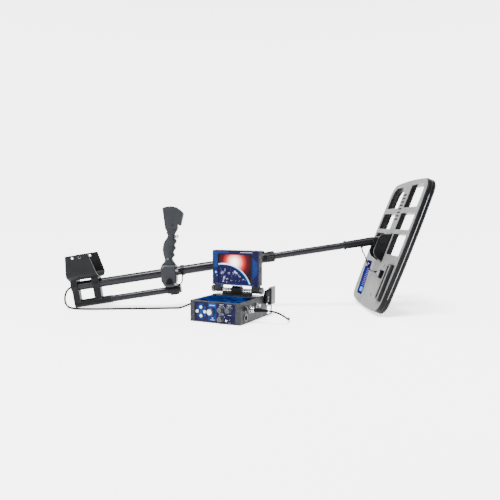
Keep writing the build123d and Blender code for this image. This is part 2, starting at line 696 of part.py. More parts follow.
def make_coil_fittings():
    """Channel, screws and the lead's socket and plug on the coil's top face."""
    with BuildPart() as coil_channel:
        with BuildSketch(coil_plane(TOP)):
            with Locations(CHANNEL_AT):
                RectangleRounded(116, 42, 5)
        extrude(amount=CHANNEL_H)
        chamfer(coil_channel.faces().sort_by(OUT_OF_COIL)[-1].edges(), 2)
        with BuildSketch(coil_plane(TOP + CHANNEL_H - 3)):
            with Locations(CHANNEL_AT):
                RectangleRounded(104, 14, 2)
        extrude(amount=3, mode=Mode.SUBTRACT)
    keep(coil_channel.part, "coil_channel")
    with BuildPart() as coil_screws:
        with BuildSketch(coil_plane(TOP)):
            with Locations(*SCREW_SPOTS):
                Circle(3.6)
        extrude(amount=2)
        add(screw_holes())
    keep(coil_screws.part, "coil_screws")
    with BuildPart() as coil_socket:
        with BuildSketch(coil_plane(TOP)):
            with Locations(SOCKET_AT):
                RectangleRounded(26, 24, 3)
        extrude(amount=16)
        chamfer(coil_socket.faces().sort_by(OUT_OF_COIL)[-1].edges(), 2)
    keep(coil_socket.part, "coil_socket")
    barrel = 24.0
    with BuildPart() as coil_plug:
        add(cylinder_on(coil_plug_plane(0), 6.5, barrel))
        with BuildSketch(coil_plug_plane(barrel)):
            Circle(5)
        with BuildSketch(coil_plug_plane(PLUG_LENGTH)):
            Circle(LEAD_R + 1)
        loft()
    keep(coil_plug.part, "coil_plug")


def coil_plug_plane(reach):
    """Plane square to the coil's plug, reach beyond its socket towards the far side."""
    origin = coil_point(SOCKET_AT[0], SOCKET_AT[1] + 12 + reach, PLUG_LIFT)
    return Plane(origin=origin, x_dir=COIL_LONG, z_dir=(0, 1, 0))


def make_coil_yoke():
    """Base plate with two cheeks that carry the tilt bolt."""
    with BuildPart() as coil_yoke:
        with BuildSketch(coil_plane(TOP)):
            with Locations((PIVOT_E - 18, 0)):
                RectangleRounded(98, 2 * CHEEK_OUT, 6)
        extrude(amount=4)
        for y in (CHEEK_IN, -CHEEK_OUT):
            cheek_plane = Plane(origin=coil_point(PIVOT_E, y, 0), x_dir=COIL_LONG, z_dir=(0, -1, 0))
            with BuildSketch(cheek_plane):
                with BuildLine():
                    FilletPolyline(*CHEEK, close=True, radius=4)
                make_face()
            extrude(amount=CHEEK_IN - CHEEK_OUT)
        add(on_pivot(-CHEEK_OUT, PIN_R + FIT, 2 * CHEEK_OUT), mode=Mode.SUBTRACT)
    keep(coil_yoke.part, "coil_yoke")


# ---- leads --------------------------------------------------------------------------------------
def corner_radii(points):
    """0.45 of the shorter run over the tangent of half the turn, for each corner of a route."""
    radii = []
    for before, corner, after in zip(points, points[1:], points[2:]):
        turn = (corner - before).get_angle(after - corner)
        run = min((corner - before).length, (after - corner).length)
        radii.append(0.45 * run / math.tan(math.radians(turn / 2)))
    return radii


def make_lead(name, points, radius):
    """Round lead along a route; prints its length, its bends and its volume against a straight one."""
    points = [Vector(*point) for point in points]
    radii = corner_radii(points)
    with BuildPart() as lead:
        with BuildLine() as route:
            FilletPolyline(*points, radius=radii)
        with BuildSketch(Plane(origin=points[0], z_dir=points[1] - points[0])):
            Circle(radius)
        sweep()
    length = route.wire().length
    straight = math.pi * radius * radius * length
    print(name, "length", round(length, 1), "radii", [round(bend, 1) for bend in radii],
          "volume ratio", round(lead.part.volume / straight, 4))
    keep(lead.part, name)


def straight_out(plane, reach, run):
    """First two points of a lead that leaves a plug or gland straight out of its face."""
    return [plane.offset(reach).origin, plane.offset(reach + run).origin]


def make_leads():
    grip_points = [grip_plane(LEAD_Y).from_local_coords((x, z, 0)) for x, z in GRIP_ROUTE]
    make_lead("grip_lead", grip_points, LEAD_R)
    rear = straight_out(across(MAIN_SPAN[0] - GLAND_REACH), 0, -14)
    left = straight_out(box_side(-BOX_W / 2, *MAIN_AT, outward=-1), WALL_PLUG_REACH, 24)
    make_lead("main_lead", rear + list(MAIN_ROUTE) + left[::-1], CORD_R)
    right = straight_out(box_side(BOX_W / 2, *PROBE_AT), WALL_PLUG_REACH, 16)
    make_lead("probe_lead", right + list(PROBE_ROUTE), PROBE_R)
    outlet = straight_out(above(-BOSS_DROP), 0, -12)
    outlet = [point + SHAFT_DIR * BOSS_S for point in outlet]
    plug = straight_out(coil_plug_plane(PLUG_LENGTH), 0, 14)
    slack = [coil_point(*point) for point in COIL_SLACK]
    make_lead("coil_lead", outlet + slack + plug[::-1], LEAD_R)


def make_wall_plug(name, plane, lead_radius):
    """Coupling ring, barrel and tapered relief of a plug that stands straight out of a wall."""
    ring, barrel, taper = 4.0, 17.0, 35.0
    with BuildPart() as plug:
        add(cylinder_on(plane.offset(ring), 8.8, barrel - ring))
        add(cylinder_on(plane.offset(barrel), 7.4, taper - barrel))
        with BuildSketch(plane.offset(taper)):
            Circle(6.2)
        with BuildSketch(plane.offset(WALL_PLUG_REACH)):
            Circle(lead_radius + 0.8)
        loft()
    keep(plug.part, name)


def make_probe_tip():
    """Small pin plug on the far end of the probe lead."""
    end = Vector(*PROBE_ROUTE[-1])
    face = Plane(origin=end, z_dir=end - Vector(*PROBE_ROUTE[-2]))
    with BuildPart() as probe_tip:
        add(cylinder_on(face, PROBE_R + 0.5, 13))
        chamfer(probe_tip.faces().sort_by(Axis.Y)[0].edges(), 0.4)
        add(cylinder_on(face.offset(13), 1.4, 7))
    keep(probe_tip.part, "probe_tip")


# ---- control box pieces -------------------------------------------------------------------------
def box_block(middle, *size):
    """Block square to the control box, placed by its middle."""
    with BuildPart(Plane(origin=box_point(*middle), x_dir=BOX_RIGHT, z_dir=(0, 0, 1))) as block:
        Box(*size)
    return block.part


def make_case():
    half = BOX_W / 2
    inner_h = BOX_H - 2 * BOX_WALL
    cavity_d = BOX_D - BOX_WALL - BEZEL
    with BuildPart() as case_shell:
        add(box_block((0, BOX_D / 2, BOX_H / 2), BOX_W, BOX_D, BOX_H))
        fillet(case_shell.edges().filter_by(Axis.Z), 2.5)
        cavity = box_block((0, BEZEL + cavity_d / 2, BOX_H / 2), BOX_W - 2 * BOX_WALL, cavity_d, inner_h)
        add(cavity, mode=Mode.SUBTRACT)
        mouth = box_block((0, BEZEL / 2, BOX_H / 2), BOX_W - 2 * BEZEL, BEZEL + 2, inner_h)
        add(mouth, mode=Mode.SUBTRACT)
        add(box_block((0, COVER_Y, BOX_H), *COVER_SIZE, 3), mode=Mode.SUBTRACT)
        for side in (1, -1):
            for inset in (3.5, 7.5, 11.5):
                groove = box_block((side * (half - inset), 0, BOX_H / 2), 1.2, 2, BOX_H)
                add(groove, mode=Mode.SUBTRACT)
            lug_x = side * (half - BOX_WALL / 2)
            add(box_block((lug_x, BOX_D + LUG_D / 2 - 1, LUG_H / 2), BOX_WALL, LUG_D + 2, LUG_H))
            slot = box_block((lug_x, BOX_D + LUG_D / 2, LUG_H / 2), BOX_WALL + 2, LUG_D - 7, SLOT_H)
            add(slot, mode=Mode.SUBTRACT)
        for (y, z), radius in ((PROBE_AT, 6), (JACK_AT, JACK_R + 0.8), (DOME_AT, 3), (SMALL_AT, 3)):
            add(cylinder_on(box_side(half, y, z), radius, -8), mode=Mode.SUBTRACT)
        add(cylinder_on(box_side(-half, *MAIN_AT, outward=-1), 6, -8), mode=Mode.SUBTRACT)
    keep(case_shell.part, "case_shell")


def button_spots():
    x, z = BUTTON_MID
    return {"up_button": (x, z + BUTTON_STEP), "down_button": (x, z - BUTTON_STEP),
            "left_button": (x - BUTTON_STEP, z), "right_button": (x + BUTTON_STEP, z)}


def make_panels():
    keep(box_block((0, COVER_Y, BOX_H - 0.75), *COVER_SIZE, 1.5), "top_panel")
    with BuildPart() as front_panel:
        with BuildSketch(box_face(PANEL_Y)):
            with Locations((0, BOX_H / 2)):
                Rectangle(BOX_W - 2 * BEZEL, BOX_H - 2 * BOX_WALL)
            with Locations(*button_spots().values()):
                Circle(BUTTON_STEM_R + FIT, mode=Mode.SUBTRACT)
            with Locations(SELECT_AT):
                Circle(SELECT_STEM_R + FIT, mode=Mode.SUBTRACT)
            with Locations(*KNOBS.values(), TOGGLE_AT):
                Circle(STEM_R + FIT, mode=Mode.SUBTRACT)
        extrude(amount=-PANEL_T)
    keep(front_panel.part, "front_panel")


def control_plane(spot, y):
    """Plane of one control on the front, y back from the box's front face, z towards the user."""
    origin = box_point(spot[0], y, spot[1])
    return Plane(origin=origin, x_dir=BOX_RIGHT, z_dir=BOX_BACK * -1)


def make_buttons():
    """Four small push buttons and the large select button with its skirt."""
    for name, spot in button_spots().items():
        with BuildPart() as button:
            add(cylinder_on(control_plane(spot, 0.3), BUTTON_R, 2.5))
            fillet(button.faces().sort_by(TOWARDS_USER)[-1].edges(), 1.2)
            add(cylinder_on(control_plane(spot, 0.3), BUTTON_STEM_R, -8))
        keep(button.part, name)
    with BuildPart() as select_button:
        add(cylinder_on(control_plane(SELECT_AT, 0), 10.5, 6))
        add(cylinder_on(control_plane(SELECT_AT, -6), 8.8, 4))
        fillet(select_button.faces().sort_by(TOWARDS_USER)[-1].edges(), 1.5)
        add(cylinder_on(control_plane(SELECT_AT, 0), SELECT_STEM_R, -10))
    keep(select_button.part, "select_button")


def make_knobs():
    """Three rotary knobs, each with a pointer bump, and the toggle lever."""
    skirt = 4.0
    for name, spot in KNOBS.items():
        foot = PANEL_Y - GAP
        with BuildPart() as knob:
            add(cylinder_on(control_plane(spot, foot), KNOB_R, skirt))
            with BuildSketch(control_plane(spot, foot - skirt)):
                Circle(KNOB_R - 1.6)
                with Locations((0, KNOB_R - 2.4)):
                    Circle(1.4)
            extrude(amount=11)
            chamfer(knob.faces().sort_by(TOWARDS_USER)[-1].edges(), 0.8)
            add(cylinder_on(control_plane(spot, foot), STEM_R, -10))
        keep(knob.part, name)
    with BuildPart() as toggle_lever:
        with Locations(control_plane(TOGGLE_AT, PANEL_Y).location):
            Sphere(2.9)
        with BuildSketch(control_plane(TOGGLE_AT, PANEL_Y)):
            Circle(1.8)
        extrude(amount=19, taper=-3)
    keep(toggle_lever.part, "toggle_lever")


def make_sockets():
    """Socket rings on both side walls, the domed cap and the small signal connector."""
    half = BOX_W / 2
    with BuildPart() as side_sockets:
        add(cylinder_on(box_side(half, *JACK_AT), 10.2, 2.2, JACK_R))
        add(cylinder_on(box_side(half, *JACK_AT), JACK_R + 0.8, -8, JACK_R))
        add(cylinder_on(box_side(half, *PROBE_AT), 10, 4, 4))
        add(cylinder_on(box_side(-half, *MAIN_AT, outward=-1), 10, 4, 4))
        add(cylinder_on(box_side(half, *DOME_AT), 8.5, 3))
        add(cylinder_on(box_side(half, *DOME_AT), 6, 8))
        with Locations(box_side(half + 9, *DOME_AT).location):
            Sphere(7)
        with BuildSketch(box_side(half, *SMALL_AT)):
            RegularPolygon(6.5, 6)
        extrude(amount=4)
        add(cylinder_on(box_side(half, *SMALL_AT), 4.6, 13))
    keep(side_sockets.part, "side_sockets")


def make_accessory_bracket():
    """Upright plate behind the right wall with the toothed clamp that carries it."""
    half = BOX_W / 2
    with BuildPart() as bracket_clamp:
        with BuildSketch(box_side(half, 0, 0)):
            with BuildLine():
                Polyline(*CLAMP_EDGE, close=True)
            make_face()
        extrude(amount=CLAMP_T)
    keep(bracket_clamp.part, "bracket_clamp")
    with BuildPart() as side_bracket:
        with BuildSketch(box_side(half, 0, 0)):
            with Locations(PLATE_AT):
                RectangleRounded(*PLATE_SIZE, 3)
        extrude(amount=3)
        with BuildSketch(box_side(half, 0, 0)):
            with Locations((FLANGE_Y, PLATE_AT[1])):
                Rectangle(3, 50)
        extrude(amount=CLAMP_T + 2)
    keep(side_bracket.part, "side_bracket")


def make_insides():
    """Battery pack behind the controls, and the main board on its posts."""
    board_z = 38.0
    board_t = 1.6
    with BuildPart() as battery_pack:
        add(box_block((0, 75, BOX_WALL + 13), 110, 70, 26))
        fillet(battery_pack.edges().filter_by(Axis.Z), 4)
    keep(battery_pack.part, "battery_pack")
    with BuildPart() as main_board:
        add(box_block((0, 95, board_z), 130, 110, board_t))
        add(box_block((-25, 85, board_z + 3.3), 30, 30, 5))
        add(box_block((30, 105, board_z + 5), 18, 40, 8.4))
        with BuildSketch(box_floor(BOX_WALL)):
            with Locations((-60, 45), (60, 45), (-60, 145), (60, 145)):
                Circle(3)
        extrude(amount=board_z - board_t / 2 - BOX_WALL)
    keep(main_board.part, "main_board")


# ---- display pieces -----------------------------------------------------------------------------
def make_hinge():
    """Foot and post on the box, the rod through them, and the knobs that clamp it at both ends."""
    with BuildPart() as hinge_bracket:
        add(box_block((0, HINGE_Y + 1.3, BOX_H + 1.25), BOX_W - 6, 30, 2.5))
        add(box_block((0, HINGE_Y, (BOX_H + HINGE_Z) / 2), 2 * POST_HALF, 2 * POST_R, HINGE_Z - BOX_H))
        add(cylinder_on(hinge_plane(-POST_HALF), POST_R, 2 * POST_HALF))
        add(cylinder_on(hinge_plane(-POST_HALF), ROD_R, 2 * POST_HALF), mode=Mode.SUBTRACT)
    keep(hinge_bracket.part, "hinge_bracket")
    reach = BOX_W / 2 + 2
    keep(cylinder_on(hinge_plane(-reach), ROD_R, 2 * reach), "hinge_rod")
    for name, side in (("left_hinge_knob", -1), ("right_hinge_knob", 1)):
        seat = hinge_plane(side * (BOX_W / 2 - 4), side)
        outward = Axis(tuple(seat.origin), tuple(seat.z_dir))
        with BuildPart() as knob:
            with BuildSketch(seat):
                Circle(9)
                with PolarLocations(9, 8):
                    Circle(1.9)
            extrude(amount=9)
            chamfer(knob.faces().sort_by(outward)[-1].edges(), 0.8)
            add(cylinder_on(seat, ROD_R + FIT, 6.1), mode=Mode.SUBTRACT)
        keep(knob.part, name)


def lid_block(y, width, height, amount):
    """Block centred on the display's outline, from y towards the back."""
    with BuildPart() as block:
        with BuildSketch(box_face(y)):
            with Locations((0, HINGE_Z + LID_FOOT + LID_H / 2)):
                RectangleRounded(width, height, 3)
        extrude(amount=-amount)
    return block.part


def glass_block(y, amount):
    with BuildPart() as block:
        with BuildSketch(box_face(y)):
            with Locations((GLASS_X, HINGE_Z + LID_FOOT + GLASS_FOOT + GLASS_SIZE[1] / 2)):
                Rectangle(*GLASS_SIZE)
        extrude(amount=-amount)
    return block.part


def make_lid():
    """Display housing, standing open: front frame, back shell with the hinge arms, and the glass."""
    face_y = HINGE_Y - LID_FACE
    depth = 2 * LID_FACE - FRAME_T
    with BuildPart() as lid_front_shell:
        add(lid_block(face_y, LID_W, LID_H, FRAME_T))
        chamfer(lid_front_shell.faces().sort_by(TOWARDS_USER)[-1].edges(), 1)
        add(glass_block(face_y, FRAME_T), mode=Mode.SUBTRACT)
    keep(lid_front_shell.part, "lid_front_shell")
    with BuildPart() as lid_back_shell:
        add(lid_block(face_y + FRAME_T, LID_W, LID_H, depth))
        chamfer(lid_back_shell.faces().sort_by(TOWARDS_USER)[0].edges(), 2.5)
        add(lid_block(face_y + FRAME_T, LID_W - 6, LID_H - 6, depth - 3), mode=Mode.SUBTRACT)
        for start in (ARM_X[0], -ARM_X[1]):
            with BuildSketch(hinge_plane(start)):
                Circle(ARM_R)
                with Locations((0, LID_FOOT / 2 + 1)):
                    Rectangle(2 * ARM_R, LID_FOOT + 2)
            extrude(amount=ARM_X[1] - ARM_X[0])
            arm_bore = cylinder_on(hinge_plane(start), ROD_R + FIT, ARM_X[1] - ARM_X[0])
            add(arm_bore, mode=Mode.SUBTRACT)
        add(lid_block(face_y, LID_W, LID_H, FRAME_T), mode=Mode.SUBTRACT)
    keep(lid_back_shell.part, "lid_back_shell")
    keep(glass_block(face_y + 1, 12), "display")


def make_all():
    make_tubes()
    make_rear_gland()
    make_clamp_collar()
    make_collar_nut()
    make_arm_bracket()
    make_arm_cradle()
    make_grip_shell("grip_near_shell", 1)
    make_grip_shell("grip_far_shell", -1)
    make_grip_head()
    make_trigger()
    make_saddle()
    make_grip_flange()
    make_fixings()
    make_yoke_sleeve()
    make_tilt_fork()
    make_coil_shells()
    make_coil_windings()
    make_coil_fittings()
    make_coil_yoke()
    make_case()
    make_panels()
    make_buttons()
    make_knobs()
    make_sockets()
    make_accessory_bracket()
    make_insides()
    make_hinge()
    make_lid()
    make_wall_plug("probe_plug", box_side(BOX_W / 2, *PROBE_AT), PROBE_R)
    make_wall_plug("main_plug", box_side(-BOX_W / 2, *MAIN_AT, outward=-1), CORD_R)
    make_probe_tip()
    make_leads()


make_all()
os.makedirs("parts", exist_ok=True)
for label, piece in pieces.items():
    export_step(piece, f"parts/{label}.step")
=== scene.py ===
import json
import math

import bmesh
import bpy
from mathutils import Matrix, Vector


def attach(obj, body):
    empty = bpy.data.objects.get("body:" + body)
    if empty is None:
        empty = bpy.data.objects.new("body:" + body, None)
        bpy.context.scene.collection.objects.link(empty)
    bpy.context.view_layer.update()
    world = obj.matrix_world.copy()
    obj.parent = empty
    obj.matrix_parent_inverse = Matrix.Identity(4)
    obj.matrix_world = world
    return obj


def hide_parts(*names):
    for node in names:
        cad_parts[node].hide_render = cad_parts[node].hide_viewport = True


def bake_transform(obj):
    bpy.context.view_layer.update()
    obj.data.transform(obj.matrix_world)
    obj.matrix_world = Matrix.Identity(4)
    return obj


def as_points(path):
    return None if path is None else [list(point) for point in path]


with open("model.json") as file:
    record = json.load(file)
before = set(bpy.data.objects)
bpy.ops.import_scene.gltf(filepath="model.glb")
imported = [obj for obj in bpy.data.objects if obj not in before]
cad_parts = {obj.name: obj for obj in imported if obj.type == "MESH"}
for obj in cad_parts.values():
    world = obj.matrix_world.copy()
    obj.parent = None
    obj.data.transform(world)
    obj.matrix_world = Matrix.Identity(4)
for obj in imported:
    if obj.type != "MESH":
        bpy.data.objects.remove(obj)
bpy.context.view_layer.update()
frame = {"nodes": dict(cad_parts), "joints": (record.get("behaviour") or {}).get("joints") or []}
MM = 0.001

LOCK_NUT_AT = 662  # mm along the shaft from its rear end
GRIP_AT = 326.5  # mm along the shaft, the grip's middle
COIL_LEAN = math.radians(69.2)
PIVOT_LIFT = 24  # mm from the coil's face up to its tilt axis
PIVOT_SHIFT = 1.3565  # mm along the coil from its middle to the tilt axis
HINGE_BACK = 134.7  # mm from the box's front to the display's rod
HINGE_HEIGHT = 79  # mm above the floor

# ---- frames: the same three as in the model, taken from its joints --------------------------------
JOINTS = {joint["name"]: joint for joint in frame["joints"]}
SHAFT_DIR = Vector(JOINTS["front_slide"]["axis"])
SHAFT_UP = Vector((-SHAFT_DIR.z, 0, SHAFT_DIR.x))
SHAFT_REAR = Vector(JOINTS["lock_nut_turn"]["pos_m"]) - SHAFT_DIR * LOCK_NUT_AT * MM
PIVOT = Vector(JOINTS["coil_tilt"]["pos_m"])
COIL_LONG = Vector((math.cos(COIL_LEAN), 0, math.sin(COIL_LEAN)))
COIL_UP = Vector((-COIL_LONG.z, 0, COIL_LONG.x))
COIL_TOP = PIVOT - (COIL_UP * PIVOT_LIFT + COIL_LONG * PIVOT_SHIFT) * MM
BOX_RIGHT = Vector(JOINTS["lid_fold"]["axis"])
BOX_BACK = Vector((-BOX_RIGHT.y, BOX_RIGHT.x, 0))
UP = Vector((0, 0, 1))
BOX_FRONT = Vector(JOINTS["lid_fold"]["pos_m"]) - (BOX_BACK * HINGE_BACK + UP * HINGE_HEIGHT) * MM
FAR = Vector((0, 1, 0))
NEAR = Vector((0, -1, 0))
FORWARD = Vector((1, 0, 0))


def shaft_point(s, n=0.0, y=0.0):
    return SHAFT_REAR + (SHAFT_DIR * s + SHAFT_UP * n + FAR * y) * MM


def coil_point(e, y, lift):
    return COIL_TOP + (COIL_LONG * e + COIL_UP * lift + FAR * y) * MM


def box_point(x, y, z):
    return BOX_FRONT + (BOX_RIGHT * x + BOX_BACK * y + UP * z) * MM


def grip_point(x, z, y=0.0):
    return shaft_point(GRIP_AT, 0, y) + (FORWARD * x + UP * z) * MM


def axes_at(origin, x_axis, y_axis, z_axis):
    """Matrix that takes local millimetres to the row frame along three axes."""
    return (Matrix.Translation(origin) @ Matrix((x_axis, y_axis, z_axis)).transposed().to_4x4()
            @ Matrix.Scale(MM, 4))


def basis(origin, x_axis, z_axis):
    """Matrix that takes local millimetres to the row frame, z along z_axis."""
    z_axis = z_axis.normalized()
    x_axis = (x_axis - z_axis * x_axis.dot(z_axis)).normalized()
    return axes_at(origin, x_axis, z_axis.cross(x_axis), z_axis)


# ---- camera and lights ----------------------------------------------------------------------------
CAMERA_AT = (0.0192, -1.5853, 0.2794)
CAMERA_DOWN = 0.054  # radians below level


def add_camera():
    camera = bpy.data.objects.new("camera", bpy.data.cameras.new("camera"))
    camera.data.sensor_width = 36
    camera.data.lens = 36
    camera.location = CAMERA_AT
    camera.rotation_euler = (math.pi / 2 - CAMERA_DOWN, 0, 0)
    bpy.context.scene.collection.objects.link(camera)
    bpy.context.scene.camera = camera


def add_light(name, place, aim, size, power):
    data = bpy.data.lights.new(name, "AREA")
    data.shape = "RECTANGLE"
    data.size, data.size_y = size
    data.energy = power
    light = bpy.data.objects.new(name, data)
    light.location = place
    light.rotation_euler = (Vector(aim) - Vector(place)).to_track_quat("-Z", "Y").to_euler()
    bpy.context.scene.collection.objects.link(light)


add_camera()


# ---- mesh helpers ---------------------------------------------------------------------------------
def new_object(name, mesh, body, material):
    piece = bpy.data.objects.new(name, mesh)
    bpy.context.scene.collection.objects.link(piece)
    mesh.materials.clear()
    mesh.materials.append(material)
    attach(piece, body)
    return piece


def finish_mesh(bm, name, smooth_angle=35.0):
    """Closes a bmesh into a mesh, smooth except at its sharp edges."""
    bmesh.ops.recalc_face_normals(bm, faces=bm.faces)
    mesh = bpy.data.meshes.new(name)
    bm.to_mesh(mesh)
    bm.free()
    mesh.polygons.foreach_set("use_smooth", [True] * len(mesh.polygons))
    mesh.set_sharp_from_angle(angle=math.radians(smooth_angle))
    return mesh


def revolve(name, profile, place, body, material, segments=48, wave=None):
    """Turned piece: profile is (radius, height) in mm; wave(radius, height, angle) may reshape it."""
    bm = bmesh.new()
    rings = []
    for radius, height in profile:
        ring = []
        for step in range(segments):
            angle = 2 * math.pi * step / segments
            shaped = wave(radius, height, angle) if wave else radius
            ring.append(bm.verts.new((shaped * math.cos(angle), shaped * math.sin(angle), height)))
        rings.append(ring)
    for lower, upper in zip(rings, rings[1:]):
        for step in range(segments):
            after = (step + 1) % segments
            bm.faces.new((lower[step], lower[after], upper[after], upper[step]))
    bm.faces.new(rings[0][::-1])
    bm.faces.new(rings[-1])
    mesh = finish_mesh(bm, name)
    mesh.transform(place)
    return new_object(name, mesh, body, material)


def loft(name, rings, body, material, smooth_angle=50.0):
    """Skin through closed rings of points in the row frame, with both ends closed."""
    bm = bmesh.new()
    rows = [[bm.verts.new(point) for point in ring] for ring in rings]
    for lower, upper in zip(rows, rows[1:]):
        count = len(lower)
        for step in range(count):
            after = (step + 1) % count
            bm.faces.new((lower[step], lower[after], upper[after], upper[step]))
    bm.faces.new(rows[0][::-1])
    bm.faces.new(rows[-1])
    return new_object(name, finish_mesh(bm, name, smooth_angle), body, material)


CORNER_STEPS = 6


def circle(radius, count):
    return [(radius * math.cos(math.tau * i / count), radius * math.sin(math.tau * i / count))
            for i in range(count)]


def rounded(points, radii):
    """Closed outline with its corners rounded."""
    result = []
    count = len(points)
    for index in range(count):
        corner = Vector(points[index])
        before = (Vector(points[index - 1]) - corner).normalized()
        after = (Vector(points[(index + 1) % count]) - corner).normalized()
        half = before.angle(after) / 2
        reach = radii[index] / math.tan(half)
        centre = corner + (before + after).normalized() * (radii[index] / math.sin(half))
        start, end = corner + before * reach - centre, corner + after * reach - centre
        sweep = start.angle_signed(end)
        for step in range(CORNER_STEPS + 1):
            turned = start.copy()
            turned.rotate(Matrix.Rotation(-sweep * step / CORNER_STEPS, 2))
            result.append(centre + turned)
    return result


def plate(name, outlines, place, thickness, bevel, body, material, steps=3):
    """Flat plate with holes and rounded edges, from z = 0 to its thickness in the place's frame."""
    curve = bpy.data.curves.new(name, "CURVE")
    curve.dimensions = "2D"
    curve.fill_mode = "BOTH"
    curve.extrude = thickness / 2 - bevel
    curve.bevel_depth = bevel
    curve.bevel_resolution = steps
    curve.offset = -bevel
    for outline in outlines:
        spline = curve.splines.new("POLY")
        spline.points.add(len(outline) - 1)
        for point, corner in zip(spline.points, outline):
            point.co = (corner[0], corner[1], 0, 1)
        spline.use_cyclic_u = True
    shape = bpy.data.objects.new(name, curve)
    mesh = bpy.data.meshes.new_from_object(shape)
    bpy.data.objects.remove(shape)
    mesh.transform(place @ Matrix.Translation((0, 0, thickness / 2)))
    mesh.polygons.foreach_set("use_smooth", [True] * len(mesh.polygons))
    mesh.set_sharp_from_angle(angle=math.radians(30))
    return new_object(name, mesh, body, material)


# ---- materials ------------------------------------------------------------------------------------
class Graph:
    """Small builder for one node material."""

    def __init__(self, name):
        self.material = bpy.data.materials.new(name)
        self.material.use_nodes = True
        self.tree = self.material.node_tree
        self.shader = self.tree.nodes["Principled BSDF"]
        self.place = self.add("ShaderNodeTexCoord").outputs["Object"]

    def add(self, kind, **settings):
        node = self.tree.nodes.new(kind)
        for key, value in settings.items():
            setattr(node, key, value)
        return node

    def link(self, source, target):
        self.tree.links.new(source, target)

    def noise(self, scale, detail=3.0, place=None, rough=0.55):
        node = self.add("ShaderNodeTexNoise")
        node.inputs["Scale"].default_value = scale
        node.inputs["Detail"].default_value = detail
        node.inputs["Roughness"].default_value = rough
        self.link(place or self.place, node.inputs["Vector"])
        return node.outputs["Fac"]

    def stretched(self, scale):
        node = self.add("ShaderNodeMapping")
        node.inputs["Scale"].default_value = scale
        self.link(self.place, node.inputs["Vector"])
        return node.outputs["Vector"]

    def spread(self, value, low, high, start=0.35, end=0.65):
        node = self.add("ShaderNodeMapRange")
        self.link(value, node.inputs["Value"])
        for key, number in (("From Min", start), ("From Max", end), ("To Min", low), ("To Max", high)):
            node.inputs[key].default_value = number
        return node.outputs["Result"]

    def math(self, operation, first, second=None):
        node = self.add("ShaderNodeMath", operation=operation)
        for socket, value in zip(node.inputs, (first, second)):
            if isinstance(value, (int, float)):
                socket.default_value = value
            elif value is not None:
                self.link(value, socket)
        return node.outputs["Value"]

    def along(self, origin, axis):
        """Distance in mm from origin along an axis of the row frame."""
        offset = self.add("ShaderNodeVectorMath", operation="SUBTRACT")
        self.link(self.place, offset.inputs[0])
        offset.inputs[1].default_value = origin
        dot = self.add("ShaderNodeVectorMath", operation="DOT_PRODUCT")
        self.link(offset.outputs["Vector"], dot.inputs[0])
        dot.inputs[1].default_value = axis / MM
        return dot.outputs["Value"]

    def mix(self, factor, first, second):
        node = self.add("ShaderNodeMix", data_type="RGBA")
        self.link(factor, node.inputs["Factor"])
        for socket, value in ((node.inputs[6], first), (node.inputs[7], second)):
            if isinstance(value, tuple):
                socket.default_value = (*value, 1)
            else:
                self.link(value, socket)
        return node.outputs[2]

    def bump(self, height, strength, distance, soften):
        """Fine relief over edges that are rounded in shading only."""
        node = self.add("ShaderNodeBump")
        node.inputs["Strength"].default_value = strength
        node.inputs["Distance"].default_value = distance
        self.link(height, node.inputs["Height"])
        bevel = self.add("ShaderNodeBevel", samples=4)
        bevel.inputs["Radius"].default_value = soften
        self.link(bevel.outputs["Normal"], node.inputs["Normal"])
        self.link(node.outputs["Normal"], self.shader.inputs["Normal"])

    def edges(self, radius):
        """Mask that is 1 along convex and concave edges."""
        bevel = self.add("ShaderNodeBevel", samples=4)
        bevel.inputs["Radius"].default_value = radius
        geometry = self.add("ShaderNodeNewGeometry")
        dot = self.add("ShaderNodeVectorMath", operation="DOT_PRODUCT")
        self.link(bevel.outputs["Normal"], dot.inputs[0])
        self.link(geometry.outputs["Normal"], dot.inputs[1])
        return self.spread(dot.outputs["Value"], 1.0, 0.0, 0.8, 0.985)


def tint(color, factor):
    return tuple(min(1.0, channel * factor) for channel in color)


def surface(name, color, rough, metallic=0.0, tone=0.15, grain=(900, 0.12), wear_and_sheen=None,
            coat=0.0, specular=0.5):
    """Moulded, painted or metal surface: uneven tone, uneven gloss, fine grain, and lighter edges that
    are partly wear and partly a painted highlight.
    """
    graph = Graph(name)
    shader = graph.shader
    shader.inputs["Metallic"].default_value = metallic
    shader.inputs["Coat Weight"].default_value = coat
    shader.inputs["Specular IOR Level"].default_value = specular
    cloud = graph.noise(28, 4)
    base = graph.mix(graph.spread(cloud, 0, 1), tint(color, 1 - tone), tint(color, 1 + tone))
    # edges lightened, convex and concave alike: partly wear, partly a painted highlight along the edges
    if wear_and_sheen:
        scuff_and_sheen = graph.math("MULTIPLY", graph.edges(wear_and_sheen[1]), graph.spread(graph.noise(160, 4), 0.25, 1))
        base = graph.mix(scuff_and_sheen, base, wear_and_sheen[0])
    graph.link(base, shader.inputs["Base Color"])
    fine = graph.noise(grain[0], 2)
    dull = graph.noise(60, 5)
    graph.link(graph.spread(dull, max(rough - 0.07, 0.03), rough + 0.09), shader.inputs["Roughness"])
    graph.bump(fine, grain[1], 0.0004, 0.0006)
    return graph.material


